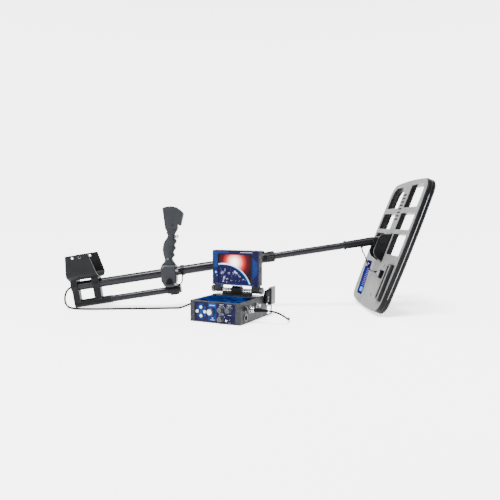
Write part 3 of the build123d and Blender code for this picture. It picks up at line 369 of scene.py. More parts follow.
BLACK_TUBE = surface("black_tube", (0.005, 0.0055, 0.0075), 0.2, grain=(1500, 0.06), tone=0.1,
                     wear_and_sheen=((0.1, 0.1, 0.11), 0.0004), specular=0.14)
BLACK_PLASTIC = surface("black_plastic", (0.0035, 0.0037, 0.0045), 0.34, specular=0.09,
                        wear_and_sheen=((0.09, 0.09, 0.1), 0.0012))
GRIP_PLASTIC = surface("grip_plastic", (0.0105, 0.012, 0.0145), 0.42, grain=(1300, 0.3), tone=0.1,
                       specular=0.16)
CRADLE_PAINT = surface("cradle_paint", (0.004, 0.0042, 0.005), 0.38, grain=(1800, 0.25),
                       wear_and_sheen=((0.1, 0.1, 0.1), 0.001), specular=0.09)
COVER_GREY = surface("cover_grey", (0.118, 0.118, 0.116), 0.55, tone=0.06, grain=(1600, 0.15),
                     wear_and_sheen=((0.26, 0.26, 0.255), 0.0008), specular=0.04)
RIM_DARK = surface("rim_dark", (0.003, 0.0032, 0.004), 0.3, tone=0.15, grain=(1400, 0.2),
                   wear_and_sheen=((0.07, 0.07, 0.07), 0.0015), specular=0.08)
CHROME = surface("bright_metal", (0.42, 0.43, 0.45), 0.16, metallic=1.0, tone=0.05, grain=(700, 0.05))
CASE_PAINT = surface("case_paint", (0.013, 0.014, 0.016), 0.45, grain=(1500, 0.35), specular=0.15,
                     wear_and_sheen=((0.12, 0.12, 0.13), 0.0008))
RUBBER = surface("rubber", (0.003, 0.003, 0.0036), 0.5, grain=(1500, 0.3), tone=0.2, specular=0.04)
GREY_PAINT = surface("grey_paint", (0.07, 0.073, 0.077), 0.42, grain=(1300, 0.15), specular=0.3,
                     wear_and_sheen=((0.2, 0.2, 0.2), 0.001))
COPPER = surface("copper", (0.7, 0.38, 0.2), 0.3, metallic=1.0, grain=(2500, 0.3))
BOARD_GREEN = surface("board_green", (0.006, 0.04, 0.015), 0.4, coat=0.3)
KNOB_GREY = surface("knob_grey", (0.02, 0.022, 0.027), 0.38, grain=(1200, 0.2), specular=0.3,
                    wear_and_sheen=((0.14, 0.14, 0.15), 0.0008))
DARK_STEEL = surface("dark_steel", (0.07, 0.072, 0.078), 0.32, metallic=0.85, tone=0.1,
                     grain=(1000, 0.1))

NODE_MATERIALS = (
    (BLACK_TUBE, ("main_tube", "lower_tube", "front_tube")),
    (BLACK_PLASTIC, ("clamp_collar", "collar_nut", "arm_bracket", "trigger_switch", "grip_saddle",
                     "grip_flange", "yoke_sleeve", "tilt_fork", "tilt_bolt", "coil_channel",
                     "coil_socket", "battery_pack", "hinge_bracket")),
    (RUBBER, ("rear_gland", "saddle_knob", "bracket_clamp")),
    (CRADLE_PAINT, ("arm_cradle",)),
    (CHROME, ("trigger_button", "toggle_lever", "hinge_rod", "probe_tip")),
    (DARK_STEEL, ("fixings", "coil_screws", "left_hinge_knob", "right_hinge_knob")),
    (COVER_GREY, ("coil_cover",)),
    (RIM_DARK, ("coil_top_shell", "coil_bottom_shell")),
    (COPPER, ("coil_windings",)),
    (CASE_PAINT, ("case_shell", "lid_back_shell")),
    (GREY_PAINT, ("side_bracket",)),
    (BOARD_GREEN, ("main_board",)),
)


def finish_node(name, material):
    for slot in frame["nodes"][name].material_slots:
        slot.material = material


for material, names in NODE_MATERIALS:
    for name in names:
        finish_node(name, material)


# ---- leads ----------------------------------------------------------------------------------------
def lead_curve(name, points, radius):
    curve = bpy.data.curves.new(name, "CURVE")
    curve.dimensions = "3D"
    curve.resolution_u = 16
    curve.bevel_depth = radius * MM
    curve.bevel_resolution = 6
    curve.use_fill_caps = True
    spline = curve.splines.new("NURBS")
    spline.points.add(len(points) - 1)
    for point, place in zip(spline.points, points):
        point.co = (*place, 1)
    spline.order_u = 3
    spline.use_endpoint_u = True
    return curve


def add_lead(name, points, radius):
    curve = lead_curve(name, points, radius)
    curve.materials.append(RUBBER)
    lead = bpy.data.objects.new(name, curve)
    bpy.context.scene.collection.objects.link(lead)
    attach(lead, "frame")
    return lead


# ---- printed surfaces: artwork drawn from plain shapes in millimetres -----------------------------
class Field:
    """Value of a node graph that takes part in arithmetic."""

    def __init__(self, graph, socket):
        self.graph, self.socket = graph, socket

    def op(self, operation, other=None):
        second = other.socket if isinstance(other, Field) else other
        return Field(self.graph, self.graph.math(operation, self.socket, second))

    def __add__(self, other):
        return self.op("ADD", other)

    def __sub__(self, other):
        return self.op("SUBTRACT", other)

    def __mul__(self, other):
        return self.op("MULTIPLY", other)

    __radd__, __rmul__ = __add__, __mul__

    def __pow__(self, other):
        return self.op("POWER", other)

    def below(self, limit, soft=0.25):
        """1 under the limit and 0 over it."""
        return Field(self.graph, self.graph.spread(self.socket, 1, 0, limit - soft, limit + soft))

    def above(self, limit, soft=0.25):
        return self.below(limit, soft) * -1 + 1

    def between(self, low, high, soft=0.25):
        return self.above(low, soft) * self.below(high, soft)


def far_from(x, y, middle):
    dx, dy = x - middle[0], y - middle[1]
    return (dx * dx + dy * dy) ** 0.5


def bar(x, y, left, right, low, high, soft=0.25):
    return x.between(left, right, soft) * y.between(low, high, soft)


def printed(name, axes, layers, ground, rough=0.3, glow=0.0, specular=0.08):
    """Printed film: layers is a function of (graph, x, y) that yields (mask, colour) pairs."""
    graph = Graph(name)
    origin, across_axis, up_axis = axes
    x = Field(graph, graph.along(origin, across_axis))
    y = Field(graph, graph.along(origin, up_axis))
    base = graph.mix(graph.spread(graph.noise(30, 4), 0, 1), tint(ground, 0.8), tint(ground, 1.25))
    for mask, color in layers(graph, x, y):
        base = graph.mix(mask.socket, base, color)
    shader = graph.shader
    graph.link(base, shader.inputs["Base Color"])
    shader.inputs["Specular IOR Level"].default_value = specular
    graph.link(graph.spread(graph.noise(70, 5), rough - 0.08, rough + 0.1), shader.inputs["Roughness"])
    if glow:
        graph.link(base, shader.inputs["Emission Color"])
        shader.inputs["Emission Strength"].default_value = glow
    graph.bump(graph.noise(1200, 2), 0.04, 0.0003, 0.0004)
    return graph.material


NAVY = (0.0016, 0.0012, 0.02)
BLUE = (0.0012, 0.0115, 0.072)
DEEP = (0.001, 0.009, 0.055)
PALE = (0.3, 0.32, 0.45)


def screen_picture(graph, x, y):
    """Warm glow over a dark dome with a bright rim: a plain wallpaper of no particular place."""
    halo = far_from(x, y, (56, 63))
    yield halo.below(36, 20), (0.11, 0.002, 0.003)
    yield halo.below(27, 14), (0.5, 0.035, 0.03)
    yield halo.below(17, 12), (0.85, 0.45, 0.38)
    yield halo.below(10, 9), (1.0, 0.92, 0.85)
    dome = far_from(x, y, (20, -35))
    yield dome.below(94.5, 1.2), (0.55, 0.7, 0.95)
    side = (x - 46).above(0, 30) + (x * -1 + 14).above(0, 8)
    yield dome.below(94.0, 0.8) * side, (0.01, 0.26, 0.62)
    yield dome.below(91, 1.2), (0.0012, 0.001, 0.02)
    clouds = Field(graph, graph.noise(95, 7, rough=0.65))
    yield dome.below(84, 5) * x.above(12, 8) * clouds.above(0.555, 0.02), (0.04, 0.04, 0.1)
    yield dome.below(84, 5) * x.above(12, 8) * clouds.above(0.59, 0.015), (0.26, 0.27, 0.36)


def lid_picture(graph, x, y):
    yield bar(x, y, 3, 18.5, 52, 99), BLUE
    yield bar(x, y, 3, 60, 96, 102) * (x * 0.5 + y).below(128), BLUE
    hexagon = x.between(135, 152) * (y + x).below(221) * (y - x).above(-116)
    yield hexagon, BLUE
    yield bar(x, y, 12, 140, -1, 4.5) * (x + y * 3).above(20), (0.008, 0.02, 0.12)
    yield bar(x, y, 96, 136, 98.6, 99.8), PALE
    yield far_from(x, y, (12, 38)).below(3.4, 0.5) + bar(x, y, 15, 17, 26, 30), (0.05, 0.25, 0.7)
    edge = bar(x, y, 19.4, 137.6, 4, 92.6) * (bar(x, y, 20.6, 136.4, 5.4, 91.4) * -1 + 1)
    yield edge, (0.002, 0.002, 0.004)


def top_picture(graph, x, y):
    yield (x * 0.5 + y).between(38, 62), DEEP
    yield (x * 0.5 + y).between(74, 79), (0.003, 0.02, 0.09)
    yield (y - x * 0.35).between(56, 84) * x.below(96), DEEP
    yield (y + x * 0.9).between(150, 182), DEEP
    yield (y - x * 0.6).between(-62, -40), (0.002, 0.014, 0.07)
    streak = Field(graph, graph.noise(34, 6, graph.stretched((1, 0.3, 1))))
    yield streak.above(0.58, 0.03) * 0.5, (0.004, 0.028, 0.11)


def controls_picture(graph, x, y):
    cross = bar(x, y, -57, -30, 16, 45) + bar(x, y, -50, -37, 9, 52)
    yield cross, (0.001, 0.016, 0.1)
    yield bar(x, y, -22, 4, 4, 57), BLUE
    yield bar(x, y, -20, 2, 44.5, 55), (0.004, 0.035, 0.15)
    yield bar(x, y, -17, 0, 48.6, 50), PALE
    yield bar(x, y, -15, -1, 8, 9.6), PALE
    yield bar(x, y, -10, -5, 12.5, 15), PALE
    for spot in ((21.5, 40), (45.5, 40), (21.5, 14)):
        ring = far_from(x, y, spot)
        ticks = ((x - spot[0]) * 1.6).op("SINE").above(0.1, 0.1)
        yield ring.between(9.9, 11.3) * (y - spot[1]).above(-3) * ticks, PALE
        yield bar(x, y, spot[0] - 7, spot[0] + 7, spot[1] + 13.0, spot[1] + 14.2), PALE
    yield bar(x, y, 41, 52, 25, 26.2) + bar(x, y, 43, 50, 3.6, 4.8), PALE


def label_picture(graph, x, y):
    lines = (y * 1.05).op("SINE").above(0.35, 0.2) * bar(x, y, 22, 58, 30, 96, 1)
    yield lines, (0.09, 0.08, 0.24)
    yield bar(x, y, 22, 56, 9, 25, 1), (0.02, 0.16, 0.55)
    yield bar(x, y, 70, 73, 20, 100), (0.01, 0.03, 0.2)
    yield bar(x, y, 44, 96, 100, 110, 1) * (x * 0.6 + y).above(146), (0.3, 0.24, 0.2)


LID_CORNER = box_point(-77.5, 119.7, 92.7)
GLASS_CORNER = box_point(-57.3, 119.7, 98.7)
SCREEN = printed("screen_picture", (GLASS_CORNER, BOX_RIGHT, UP), screen_picture, (0.004, 0.001, 0.003),
                 rough=0.2, glow=1.0, specular=0.05)
LID_PRINT = printed("lid_print", (LID_CORNER, BOX_RIGHT, UP), lid_picture, NAVY)
TOP_PRINT = printed("top_print", (box_point(-73, 2.5, 60), BOX_RIGHT, BOX_BACK), top_picture,
                    (0.001, 0.0012, 0.014), specular=0.0, rough=0.4)
CONTROL_PRINT = printed("control_print", (box_point(0, 0, 0), BOX_RIGHT, UP), controls_picture, NAVY)
for name, material in (("display", SCREEN), ("lid_front_shell", LID_PRINT), ("top_panel", TOP_PRINT),
                       ("front_panel", CONTROL_PRINT)):
    finish_node(name, material)


# ---- search coil: light seam line round the rim, label and yoke -----------------------------------
BOW_STEPS = 24
CORNER_TRIM = 46  # mm of each side given up to a corner
CORNER_POINTS = 12
HALF_LONG, HALF_WIDE = (220, 212), (190, 178)  # half sizes at the middles of the sides, and at corners


def bow(first, middle, last):
    """Points on the arc through three points of the coil's plane."""
    first, middle, last = Vector(first), Vector(middle), Vector(last)
    half = (last - first).length / 2
    rise = (middle - (first + last) / 2).length
    radius = (half * half + rise * rise) / (2 * rise)
    inward = ((first + last) / 2 - middle).normalized()
    centre = middle + inward * radius
    start, end = first - centre, last - centre
    sweep = start.angle_signed(end)
    turned = []
    for step in range(BOW_STEPS + 1):
        spoke = start.copy()
        spoke.rotate(Matrix.Rotation(-sweep * step / BOW_STEPS, 2))
        turned.append(centre + spoke)
    return turned


def coil_outline(inset):
    """The coil's bowed outline with round corners, as (e, y) points."""
    long, corner_l = (half - inset for half in HALF_LONG)
    wide, corner_w = (half - inset for half in HALF_WIDE)
    corners = ((corner_l, -corner_w), (corner_l, corner_w),
               (-corner_l, corner_w), (-corner_l, -corner_w))
    middles = ((long, 0), (0, wide), (-long, 0), (0, -wide))
    sides = [bow(corners[i], middles[i], corners[(i + 1) % 4]) for i in range(4)]
    trim = CORNER_TRIM - inset
    shape = []
    for index in range(4):
        side, after = sides[index], sides[(index + 1) % 4]
        corner = Vector(corners[(index + 1) % 4])
        kept = [p for p in side if (p - Vector(corners[index])).length > trim
                and (p - corner).length > trim]
        shape += kept
        start = kept[-1]
        end = [p for p in after if (p - corner).length > trim][0]
        along_start = (side[-1] - side[-2]).normalized()
        along_end = (after[1] - after[0]).normalized()
        pull = (corner - start).length * 0.56
        for step in range(1, CORNER_POINTS):
            t = step / CORNER_POINTS
            handles = (start, start + along_start * pull, end - along_end * pull, end)
            weights = ((1 - t) ** 3, 3 * t * (1 - t) ** 2, 3 * t * t * (1 - t), t ** 3)
            shape.append(sum((h * w for h, w in zip(handles, weights)), Vector((0, 0))))
    return shape


def coil_frame(e=0.0, y=0.0, lift=0.0):
    """Matrix from local mm to the row frame: x along the coil, y to the far side, z out of its face."""
    return axes_at(coil_point(e, y, lift), COIL_LONG, FAR, COIL_UP)


def add_bead(name, shape, lift, radius, place, body, material):
    """Thin round bead along a closed outline."""
    curve = bpy.data.curves.new(name, "CURVE")
    curve.dimensions = "3D"
    curve.bevel_depth = radius
    curve.bevel_resolution = 2
    spline = curve.splines.new("POLY")
    spline.points.add(len(shape) - 1)
    for point, corner in zip(spline.points, shape):
        point.co = (corner[0], corner[1], lift, 1)
    spline.use_cyclic_u = True
    line = bpy.data.objects.new(name, curve)
    mesh = bpy.data.meshes.new_from_object(line)
    bpy.data.objects.remove(line)
    mesh.transform(place)
    mesh.polygons.foreach_set("use_smooth", [True] * len(mesh.polygons))
    return new_object(name, mesh, body, material)


SEAM_LIGHT = surface("seam_bead", (0.3, 0.3, 0.3), 0.4, specular=0.3)
LABEL_PRINT = printed("label_print", (coil_point(-191, 48, 0), FAR, COIL_LONG), label_picture,
                      (0.003, 0.0025, 0.035), rough=0.5, specular=0.0)
add_bead("coil_seam_bead", coil_outline(0.2), -15.0, 0.75, coil_frame(), "coil", SEAM_LIGHT)
label = [(-71, 84), (-71, 150), (-110, 146), (-191, 124), (-191, 60), (-150, 66)]
plate("coil_label", [rounded(label, (4, 4, 20, 4, 4, 40))], coil_frame(), 0.6, 0.15, "coil",
      LABEL_PRINT)


# light grey for the painted highlight along the rims of the black yoke cheeks
EDGE_HIGHLIGHT = surface("edge_highlight", (0.07, 0.07, 0.075), 0.35, specular=0.2)
SLOT_DARK = surface("slot_dark", (0.002, 0.002, 0.0024), 0.6, grain=(1400, 0.2), specular=0.02)
SLOT_FROM, SLOT_PITCH = 83, 12
slot_shape = rounded([(-2.9, -16), (2.9, -16), (2.9, 16), (-2.9, 16)], (2.4, 2.4, 2.4, 2.4))
for count in range(8):
    plate(f"spine_slot_{count}", [slot_shape], coil_frame(SLOT_FROM + SLOT_PITCH * count, 0, -0.3),
          0.6, 0.1, "coil", SLOT_DARK, 1)


def add_yoke():
    """Dished yoke: base pan with two rounded cheeks."""
    base = rounded([(-66, -30), (34, -30), (34, 30), (-66, 30)], (10, 6, 6, 10))
    pan = plate("yoke_pan", [base], coil_frame(), 4.5, 1.4, "coil", BLACK_PLASTIC)
    cheek = rounded([(-65.5, 0.3), (-57, 28), (-43, 37.6), (6, 37.6), (17.5, 32), (31, 0.3)],
                    (2, 12, 14, 16, 14, 2))
    for name, y_side in (("yoke_near_cheek", -24.0), ("yoke_far_cheek", 30.0)):
        place = axes_at(coil_point(PIVOT_SHIFT, y_side, 0), COIL_LONG, COIL_UP, NEAR)
        hole = [(x, PIVOT_LIFT - y) for x, y in circle(5.2, 24)]
        plate(name, [cheek, hole], place, 6.0, 1.3, "coil", BLACK_PLASTIC)
        # grey line round the cheek's rim: a painted highlight on its black edge
        add_bead(name + "_highlight_line", cheek, 5.6, 0.45, place, "coil", EDGE_HIGHLIGHT)
    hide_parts("coil_yoke")


add_yoke()


# ---- hand grip ------------------------------------------------------------------------------------
def smooth_line(points, value):
    """Catmull-Rom through (height, x) points, read at a height."""
    for index in range(len(points) - 1):
        if value <= points[index + 1][0] or index == len(points) - 2:
            break
    p1, p2 = points[index], points[index + 1]
    p0 = points[index - 1] if index else (2 * p1[0] - p2[0], p1[1])
    p3 = points[index + 2] if index + 2 < len(points) else (2 * p2[0] - p1[0], p2[1])
    width = p2[0] - p1[0]
    t = (value - p1[0]) / width
    m1 = (p2[1] - p0[1]) / (p2[0] - p0[0]) * width
    m2 = (p3[1] - p1[1]) / (p3[0] - p1[0]) * width
    t2, t3 = t * t, t * t * t
    return ((2 * t3 - 3 * t2 + 1) * p1[1] + (t3 - 2 * t2 + t) * m1
            + (3 * t2 - 2 * t3) * p2[1] + (t3 - t2) * m2)


# the stem's back and front edges, as (height, x) in mm
BACK = ((23.5, -25.7), (37, -15), (56, -19), (76, -21.7), (98, -17), (117, -5.5), (128, -6),
        (140.7, -11.3))
FRONT = ((23.5, 22.4), (43, 10.3), (55.2, 17.9), (67, 14.8), (78.7, 22.3), (88.5, 18.2), (101, 24.8),
         (112, 19.5), (124, 19.5), (140.7, 28))


STEM_LOW, STEM_HIGH, STEM_RINGS, RING_POINTS = 21, 141.9, 60, 40
STEM_HALF, NECK_FROM = 14.6, 118
BARREL_THICK, GUARD_THICK = 46, 28


def add_grip():
    """Sculpted stem with finger rests, its rounded barrel and the flared guard with two eyes."""
    rings = []
    for step in range(STEM_RINGS):
        z = STEM_LOW + (STEM_HIGH - STEM_LOW) * step / (STEM_RINGS - 1)
        back, front = smooth_line(BACK, z), smooth_line(FRONT, z)
        middle, half = (back + front) / 2, (front - back) / 2
        thick = STEM_HALF if z < NECK_FROM else STEM_HALF - 1.6 * (z - NECK_FROM) / 22
        ring = []
        for turn in range(RING_POINTS):
            angle = math.tau * turn / RING_POINTS
            c, s = math.cos(angle), math.sin(angle)
            power = 0.72 if c > 0 else 0.6
            ring.append(grip_point(middle + half * math.copysign(abs(c) ** 0.85, c), z,
                                   thick * math.copysign(abs(s) ** power, s)))
        rings.append(ring)
    loft("grip_stem", rings, "frame", GRIP_PLASTIC, 40)
    place = axes_at(grip_point(0, 0, BARREL_THICK / 2), FORWARD, UP, NEAR)
    barrel = rounded([(-25.7, 23.5), (-27.0, 10.0), (-25.0, -28.0), (-13.0, -48.0), (18.0, -48.0),
                      (25.6, -30.0), (25.6, 12.0), (22.4, 23.5)], (6, 14, 14, 8, 8, 14, 14, 6))
    shell = plate("grip_barrel", [barrel], place, BARREL_THICK, 6.5, "frame", GRIP_PLASTIC, 2)
    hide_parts("grip_near_shell", "grip_far_shell")
    head = [(-11.8, 141.2), (-20.5, 209.5)]
    head += [(-14.5, 212.2), (-6, 214.4), (4, 215.3), (14, 215.1), (24, 212.5), (34, 206), (42, 199)]
    head += [(48.2, 191.5), (39.7, 153.6), (36.5, 151.5), (27.0, 157.0), (29.2, 147.7), (28.2, 141.2)]
    place = axes_at(grip_point(0, 0, GUARD_THICK / 2), FORWARD, UP, NEAR)
    top = plate("grip_guard", [head], place, GUARD_THICK, 3.2, "frame", GRIP_PLASTIC, 2)
    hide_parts("grip_head")
    for side, y in (("near", -13.7), ("far", 13.7)):
        spot = basis(grip_point(12.5, 153.5, y), FORWARD, FAR * math.copysign(1, y))
        eye = [(2.9, -0.4), (2.9, 0.7), (2.5, 1.0), (2.0, 0.9), (1.8, 0.2), (0.3, 0.1)]
        revolve(f"guard_eye_{side}", eye, spot, "frame", RUBBER, 28)


add_grip()


# ---- controls and plugs ---------------------------------------------------------------------------
HALF_BOX = 81  # mm


def box_face(x, z):
    """Matrix of one control: z towards the user, x to the right."""
    return basis(box_point(x, 0, z), BOX_RIGHT, -BOX_BACK)


def box_wall(y, z, side=1):
    """Matrix on a side wall: z outwards."""
    return basis(box_point(side * HALF_BOX, y, z), UP, BOX_RIGHT * side)


# silver for the ring that stands in for the highlight arcs on the dark knob caps: a painted highlight
KNOB_HIGHLIGHT = surface("knob_highlight", (0.12, 0.125, 0.135), 0.3, metallic=0.8, tone=0.08,
                      grain=(900, 0.06))
BUTTON_FACE = surface("button_face", (0.5, 0.51, 0.53), 0.32, metallic=0.35, tone=0.05,
                      grain=(800, 0.05))


def fluted(count, depth, low, high):
    """Wave for revolve: shallow flutes between two heights."""
    def wave(radius, height, angle):
        if not low < height < high:
            return radius
        return radius * (1 - depth * (0.5 + 0.5 * math.cos(count * angle)))
    return wave


def add_knob(node, x, z):
    """Fluted rotary knob with a painted highlight ring round its top, and a pointer."""
    place = box_face(x, z)
    profile = [(3.0, -1.5), (8.5, -1.5), (8.55, 1.2), (8.0, 2.2), (7.2, 2.8), (7.0, 3.4), (6.9, 7),
               (6.75, 11), (6.5, 12.0), (6.0, 12.5)]
    body = revolve(node + "_skirt", profile, place, node, KNOB_GREY, 72, fluted(18, 0.035, 3, 11.4))
    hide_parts(node)
    cap = [(5.6, 12.2), (5.7, 12.8), (5.3, 13.1), (4.9, 12.9), (4.6, 12.7), (0.6, 12.6)]
    revolve(node + "_cap", cap, place, node, KNOB_GREY, 48)
    # bright ring round the cap: a painted highlight
    add_bead(node + "_ring", circle(6.05, 40), 12.3, 0.42, place, node, KNOB_HIGHLIGHT)
    pointer = rounded([(-0.6, 4.3), (0.6, 4.3), (0.6, 8.0), (-0.6, 8.0)], (0.5, 0.5, 0.5, 0.5))
    plate(node + "_pointer", [pointer], place @ Matrix.Translation((0, 0, 2.0)), 1.1, 0.2, node,
          BUTTON_FACE)


for node, (x, z) in (("gain_knob", (21.5, 40.0)), ("volume_knob", (45.5, 40.0)),
                     ("balance_knob", (21.5, 14.0))):
    add_knob(node, x, z)

BUTTON_RING = [(4.3, -0.3), (5.35, -0.2), (5.4, 0.4), (5.1, 0.9), (4.7, 1.0), (4.4, 0.5)]
BUTTON_TOP = [(4.3, 0.2), (4.35, 1.2), (4.0, 1.9), (3.0, 2.15), (1.5, 2.2), (1.35, 1.95), (0.3, 1.9)]
SELECT_SKIRT = [(6.0, -0.1), (10.3, 0.0), (10.45, 0.5), (10.2, 4.6), (9.9, 5.6), (9.0, 6.0)]
SELECT_CAP = [(8.2, 5.6), (8.3, 7.6), (8.0, 8.4), (7.7, 8.6)]
SELECT_TOP = [(7.5, 8.2), (7.6, 9.2), (7.2, 9.75), (6.2, 9.95), (4.2, 9.95), (3.8, 9.6), (0.5, 9.4)]
for node, (x, z) in (("up_button", (-43.5, 42.9)), ("down_button", (-43.5, 18.1)),
                     ("left_button", (-55.9, 30.5)), ("right_button", (-31.1, 30.5))):
    place = box_face(x, z)
    ring = revolve(node + "_ring", BUTTON_RING, place, node, KNOB_GREY, 40)
    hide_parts(node)
    revolve(node + "_face", BUTTON_TOP, place, node, BUTTON_FACE, 40)

place = box_face(-12.0, 31.5)
skirt = revolve("select_skirt", SELECT_SKIRT, place, "select_button", KNOB_GREY, 64)
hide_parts("select_button")
revolve("select_cap", SELECT_CAP, place, "select_button", KNOB_GREY, 64)
revolve("select_face", SELECT_TOP, place, "select_button", BUTTON_FACE, 64)


RIB_RISE = 0.09  # of the radius


def ribs(radius, height, angle):
    """Rings moulded round a strain relief."""
    return radius * (1 + RIB_RISE * math.cos(height * 2.3)) if height > 26 else radius


def add_wall_plug(node, place, lead_r):
    """Metal ring, barrel and ribbed strain relief of a screwed plug."""
    nut = [(5.0, 4.2), (8.6, 4.2), (8.9, 4.8), (8.9, 11.4), (8.5, 12.0), (5.0, 12.2)]
    ring = revolve(node + "_nut", nut, place, "frame", CHROME, 60, fluted(24, 0.03, 4.5, 11.8))
    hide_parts(node)
    revolve(node + "_barrel", [(4.8, 12.0), (6.6, 12.2), (6.8, 13.0), (6.8, 16.5), (6.5, 17.0)], place,
            "frame", CHROME, 48)
    heights = [17.0 + 0.42 * step for step in range(101)]
    tail = [(6.4 - (6.4 - lead_r - 0.5) * ((h - 17) / 42.2) ** 0.9, h) for h in heights]
    revolve(node + "_relief", [(5.0, 16.4)] + tail, place, "frame", RUBBER, 40, ribs)


add_wall_plug("probe_plug", box_wall(54.0, 37.0), 2.6)
add_wall_plug("main_plug", box_wall(150.0, 25.0, -1), 3.0)


def socket_finish():
    """Bright rings further back, black jack ring and dark cap near the front."""
    graph = Graph("socket_finish")
    back = graph.along(BOX_FRONT, BOX_BACK)
    dark = Field(graph, back).below(42, 0.3)
    base = graph.mix(dark.socket, (0.42, 0.43, 0.45), (0.012, 0.012, 0.014))
    graph.link(base, graph.shader.inputs["Base Color"])
    graph.link((dark * -1 + 1).socket, graph.shader.inputs["Metallic"])
    graph.link(graph.spread(graph.noise(80, 4), 0.12, 0.3), graph.shader.inputs["Roughness"])
    graph.bump(graph.noise(900, 2), 0.05, 0.0003, 0.0004)
    return graph.material


finish_node("side_sockets", socket_finish())


FOOT_HALF, RIB_PITCH = 48, 6  # mm


def add_hinge_foot():
    """Ribbed block under the display's rod."""
    rings = []
    for x in range(-FOOT_HALF, FOOT_HALF + 1):
        rise = 0.0 if (x + FOOT_HALF) % RIB_PITCH < RIB_PITCH / 2 else 0.9
        half = 7 + rise
        shape = [(-half, 62.6), (-half, 69 + rise), (-4 - rise, 73 + rise), (4 + rise, 73 + rise),
                 (half, 69 + rise), (half, 62.6)]
        rings.append([box_point(x, HINGE_BACK + y, z) for y, z in shape])
    loft("hinge_foot_ribs", rings, "frame", BLACK_PLASTIC, 20)


add_hinge_foot()


def add_coil_plug():
    """Ribbed plug of the coil lead."""
    place = basis(coil_point(-102, -138, 8), COIL_LONG, FAR)
    profile = [(5.5, 52.2), (6.4, 52.4), (6.5, 53.0), (6.5, 75.0), (6.2, 75.8)]
    profile += [(6.0 - 3.2 * ((h - 76) / 39.8), h) for h in (76 + 0.5 * step for step in range(80))]
    grooves = fluted(12, 0.05, 53, 74)

    def plug_wave(radius, height, angle):
        if height > 76:
            return radius * (1 + RIB_RISE * math.cos(height * 2.1))
        return grooves(radius, height, angle)

    plug = revolve("coil_plug_body", profile, place, "coil", RUBBER, 40, plug_wave)
    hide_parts("coil_plug")
    nut = [(6.6, 51.9), (7.6, 52.2), (7.8, 53), (7.8, 58), (7.3, 58.8), (6.4, 59)]
    revolve("coil_plug_nut", nut, place, "coil", DARK_STEEL, 48, fluted(20, 0.05, 52.5, 58.5))


add_coil_plug()


def add_eyelets():
    """Rolled eyelets round the strap holes of the arm cradle."""
    for side, y in (("near", -1), ("far", 1)):
        for s in (36, 60):
            place = basis(shaft_point(s, 93.5, y * 51.3), SHAFT_DIR, FAR * y)
            add_bead(f"eyelet_{side}_{s}", circle(4.3, 32), 1.2, 0.9, place, "frame", DARK_STEEL)


add_eyelets()


# ---- routes of the leads, in metres ---------------------------------------------------------------
def lead_line(points):
    """Points along the route's smooth line."""
    curve = lead_curve("line", points, 0)
    shape = bpy.data.objects.new("line", curve)
    mesh = bpy.data.meshes.new_from_object(shape)
    line = [vertex.co.copy() for vertex in mesh.vertices]
    bpy.data.meshes.remove(mesh)
    bpy.data.objects.remove(shape)
    bpy.data.curves.remove(curve)
    return line


def add_coil_lead():
    """Lead of the coil, made as a mesh along its route."""
    curve = lead_curve("coil_cable", COIL_ROUTE, 2.0)
    shape = bpy.data.objects.new("coil_cable_line", curve)
    mesh = bpy.data.meshes.new_from_object(shape)
    bpy.data.objects.remove(shape)
    mesh.polygons.foreach_set("use_smooth", [True] * len(mesh.polygons))
    mesh.materials.clear()
    mesh.materials.append(RUBBER)
    lead = bpy.data.objects.new("coil_cable", mesh)
    bpy.context.scene.collection.objects.link(lead)
    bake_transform(lead)
    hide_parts("coil_lead")
    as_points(lead_line(COIL_ROUTE))


MAIN_ROUTE = [
    (-0.5599, 0.0516, 0.0703), (-0.5737, 0.0516, 0.0682), (-0.5870, 0.0484, 0.0510),
    (-0.5885, 0.0414, 0.0250), (-0.5760, 0.0314, 0.0065), (-0.5488, 0.0174, 0.0032),
    (-0.5078, 0.0084, 0.0032), (-0.4408, 0.0124, 0.0032), (-0.3658, 0.0194, 0.0032),
    (-0.2908, 0.0224, 0.0032), (-0.2378, 0.0294, 0.0032), (-0.2060, 0.0254, 0.0040),
    (-0.1840, 0.0159, 0.0150), (-0.1620, 0.0045, 0.0250), (-0.1405, -0.0062, 0.0250)]
PROBE_ROUTE = [
    (0.0722, -0.2201, 0.0370), (0.0866, -0.2273, 0.0370), (0.1080, -0.2216, 0.0260),
    (0.1230, -0.2036, 0.0130), (0.1300, -0.1776, 0.0040), (0.1320, -0.1516, 0.0032)]
GRIP_ROUTE = [
    (-0.2141, 0.0321, 0.1245), (-0.2071, 0.0321, 0.1245), (-0.2011, 0.0321, 0.1165),
    (-0.1991, 0.0321, 0.1025), (-0.2011, 0.0321, 0.0885), (-0.2071, 0.0321, 0.0800),
    (-0.2156, 0.0321, 0.0800)]
COIL_ROUTE = [
    (0.3856, 0.0516, 0.1983), (0.3874, 0.0516, 0.1864), (0.3976, 0.0616, 0.1740),
    (0.4064, 0.0776, 0.1578), (0.4146, 0.0896, 0.1397), (0.4191, 0.0876, 0.1263),
    (0.4214, 0.0716, 0.1211), (0.4227, 0.0436, 0.1217), (0.4227, 0.0296, 0.1217)]

main_cable = add_lead("main_cable", MAIN_ROUTE, 3.0)
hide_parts("main_lead")
probe_cable = add_lead("probe_cable", PROBE_ROUTE, 2.6)
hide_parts("probe_lead")
grip_cable = add_lead("grip_cable", GRIP_ROUTE, 2.0)
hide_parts("grip_lead")
add_coil_lead()


# ---- floor and lights -----------------------------------------------------------------------------
FLOOR_HALF = 14  # metres
FLOOR_GLOW = 1.7
WORLD_BRIGHT = 4.4
WORLD_DIM = 0.8
SUN_POWER = 8.5
SUN_ANGLE = math.radians(22)


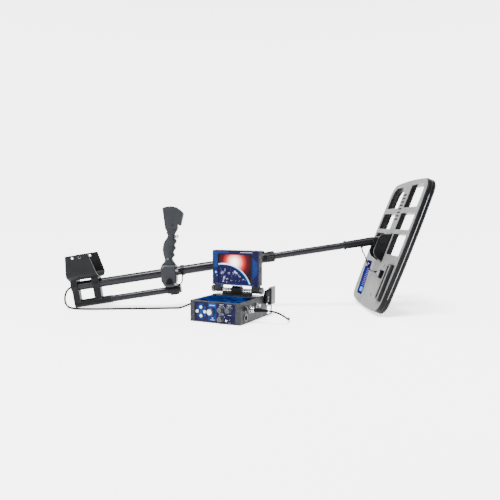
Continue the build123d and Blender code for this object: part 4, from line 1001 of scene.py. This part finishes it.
def add_floor():
    bm = bmesh.new()
    bmesh.ops.create_grid(bm, x_segments=2, y_segments=2, size=FLOOR_HALF)
    floor = bpy.data.objects.new("floor", bpy.data.meshes.new("floor"))
    bm.to_mesh(floor.data)
    bm.free()
    bpy.context.scene.collection.objects.link(floor)
    graph = Graph("floor_paper")
    graph.link(graph.mix(graph.noise(3), (0.93, 0.93, 0.93), (0.97, 0.97, 0.97)),
               graph.shader.inputs["Base Color"])
    graph.shader.inputs["Roughness"].default_value = 0.8
    graph.shader.inputs["Emission Color"].default_value = (1, 1, 1, 1)
    graph.shader.inputs["Emission Strength"].default_value = FLOOR_GLOW
    floor.data.materials.append(graph.material)


def add_world():
    """Studio surroundings: bright behind the object near the horizon, dimmer elsewhere."""
    world = bpy.data.worlds.new("studio")
    bpy.context.scene.world = world
    world.use_nodes = True
    tree = world.node_tree
    tree.nodes["Background"].inputs["Color"].default_value = (1, 1, 1, 1)
    direction = tree.nodes.new("ShaderNodeTexCoord").outputs["Generated"]
    split = tree.nodes.new("ShaderNodeSeparateXYZ")
    tree.links.new(direction, split.inputs["Vector"])

    def spread(socket, start, end, low, high):
        node = tree.nodes.new("ShaderNodeMapRange")
        node.interpolation_type = "SMOOTHSTEP"
        tree.links.new(socket, node.inputs["Value"])
        for key, number in zip(("From Min", "From Max", "To Min", "To Max"), (start, end, low, high)):
            node.inputs[key].default_value = number
        return node.outputs["Result"]

    behind = spread(split.outputs["Y"], -0.1, 0.75, 0, WORLD_BRIGHT)
    low = spread(split.outputs["Z"], 0.3, 0.7, 1, 0.12)
    product = tree.nodes.new("ShaderNodeMath")
    product.operation = "MULTIPLY_ADD"
    tree.links.new(behind, product.inputs[0])
    tree.links.new(low, product.inputs[1])
    product.inputs[2].default_value = WORLD_DIM
    tree.links.new(product.outputs["Value"], tree.nodes["Background"].inputs["Strength"])


add_floor()
add_world()
sun = bpy.data.lights.new("key", "SUN")
sun.energy = SUN_POWER
sun.angle = SUN_ANGLE
key = bpy.data.objects.new("key", sun)
key.rotation_euler = Vector((0.25, 0.35, -1)).to_track_quat("-Z", "Y").to_euler()
bpy.context.scene.collection.objects.link(key)
add_light("streak_light", (0.0, -0.5, 1.6), (0, 0, 0.1), (2.4, 0.12), 22)
add_light("near_light", (-1.4, -1.7, 0.9), (0, 0, 0.1), (0.5, 1.0), 16)
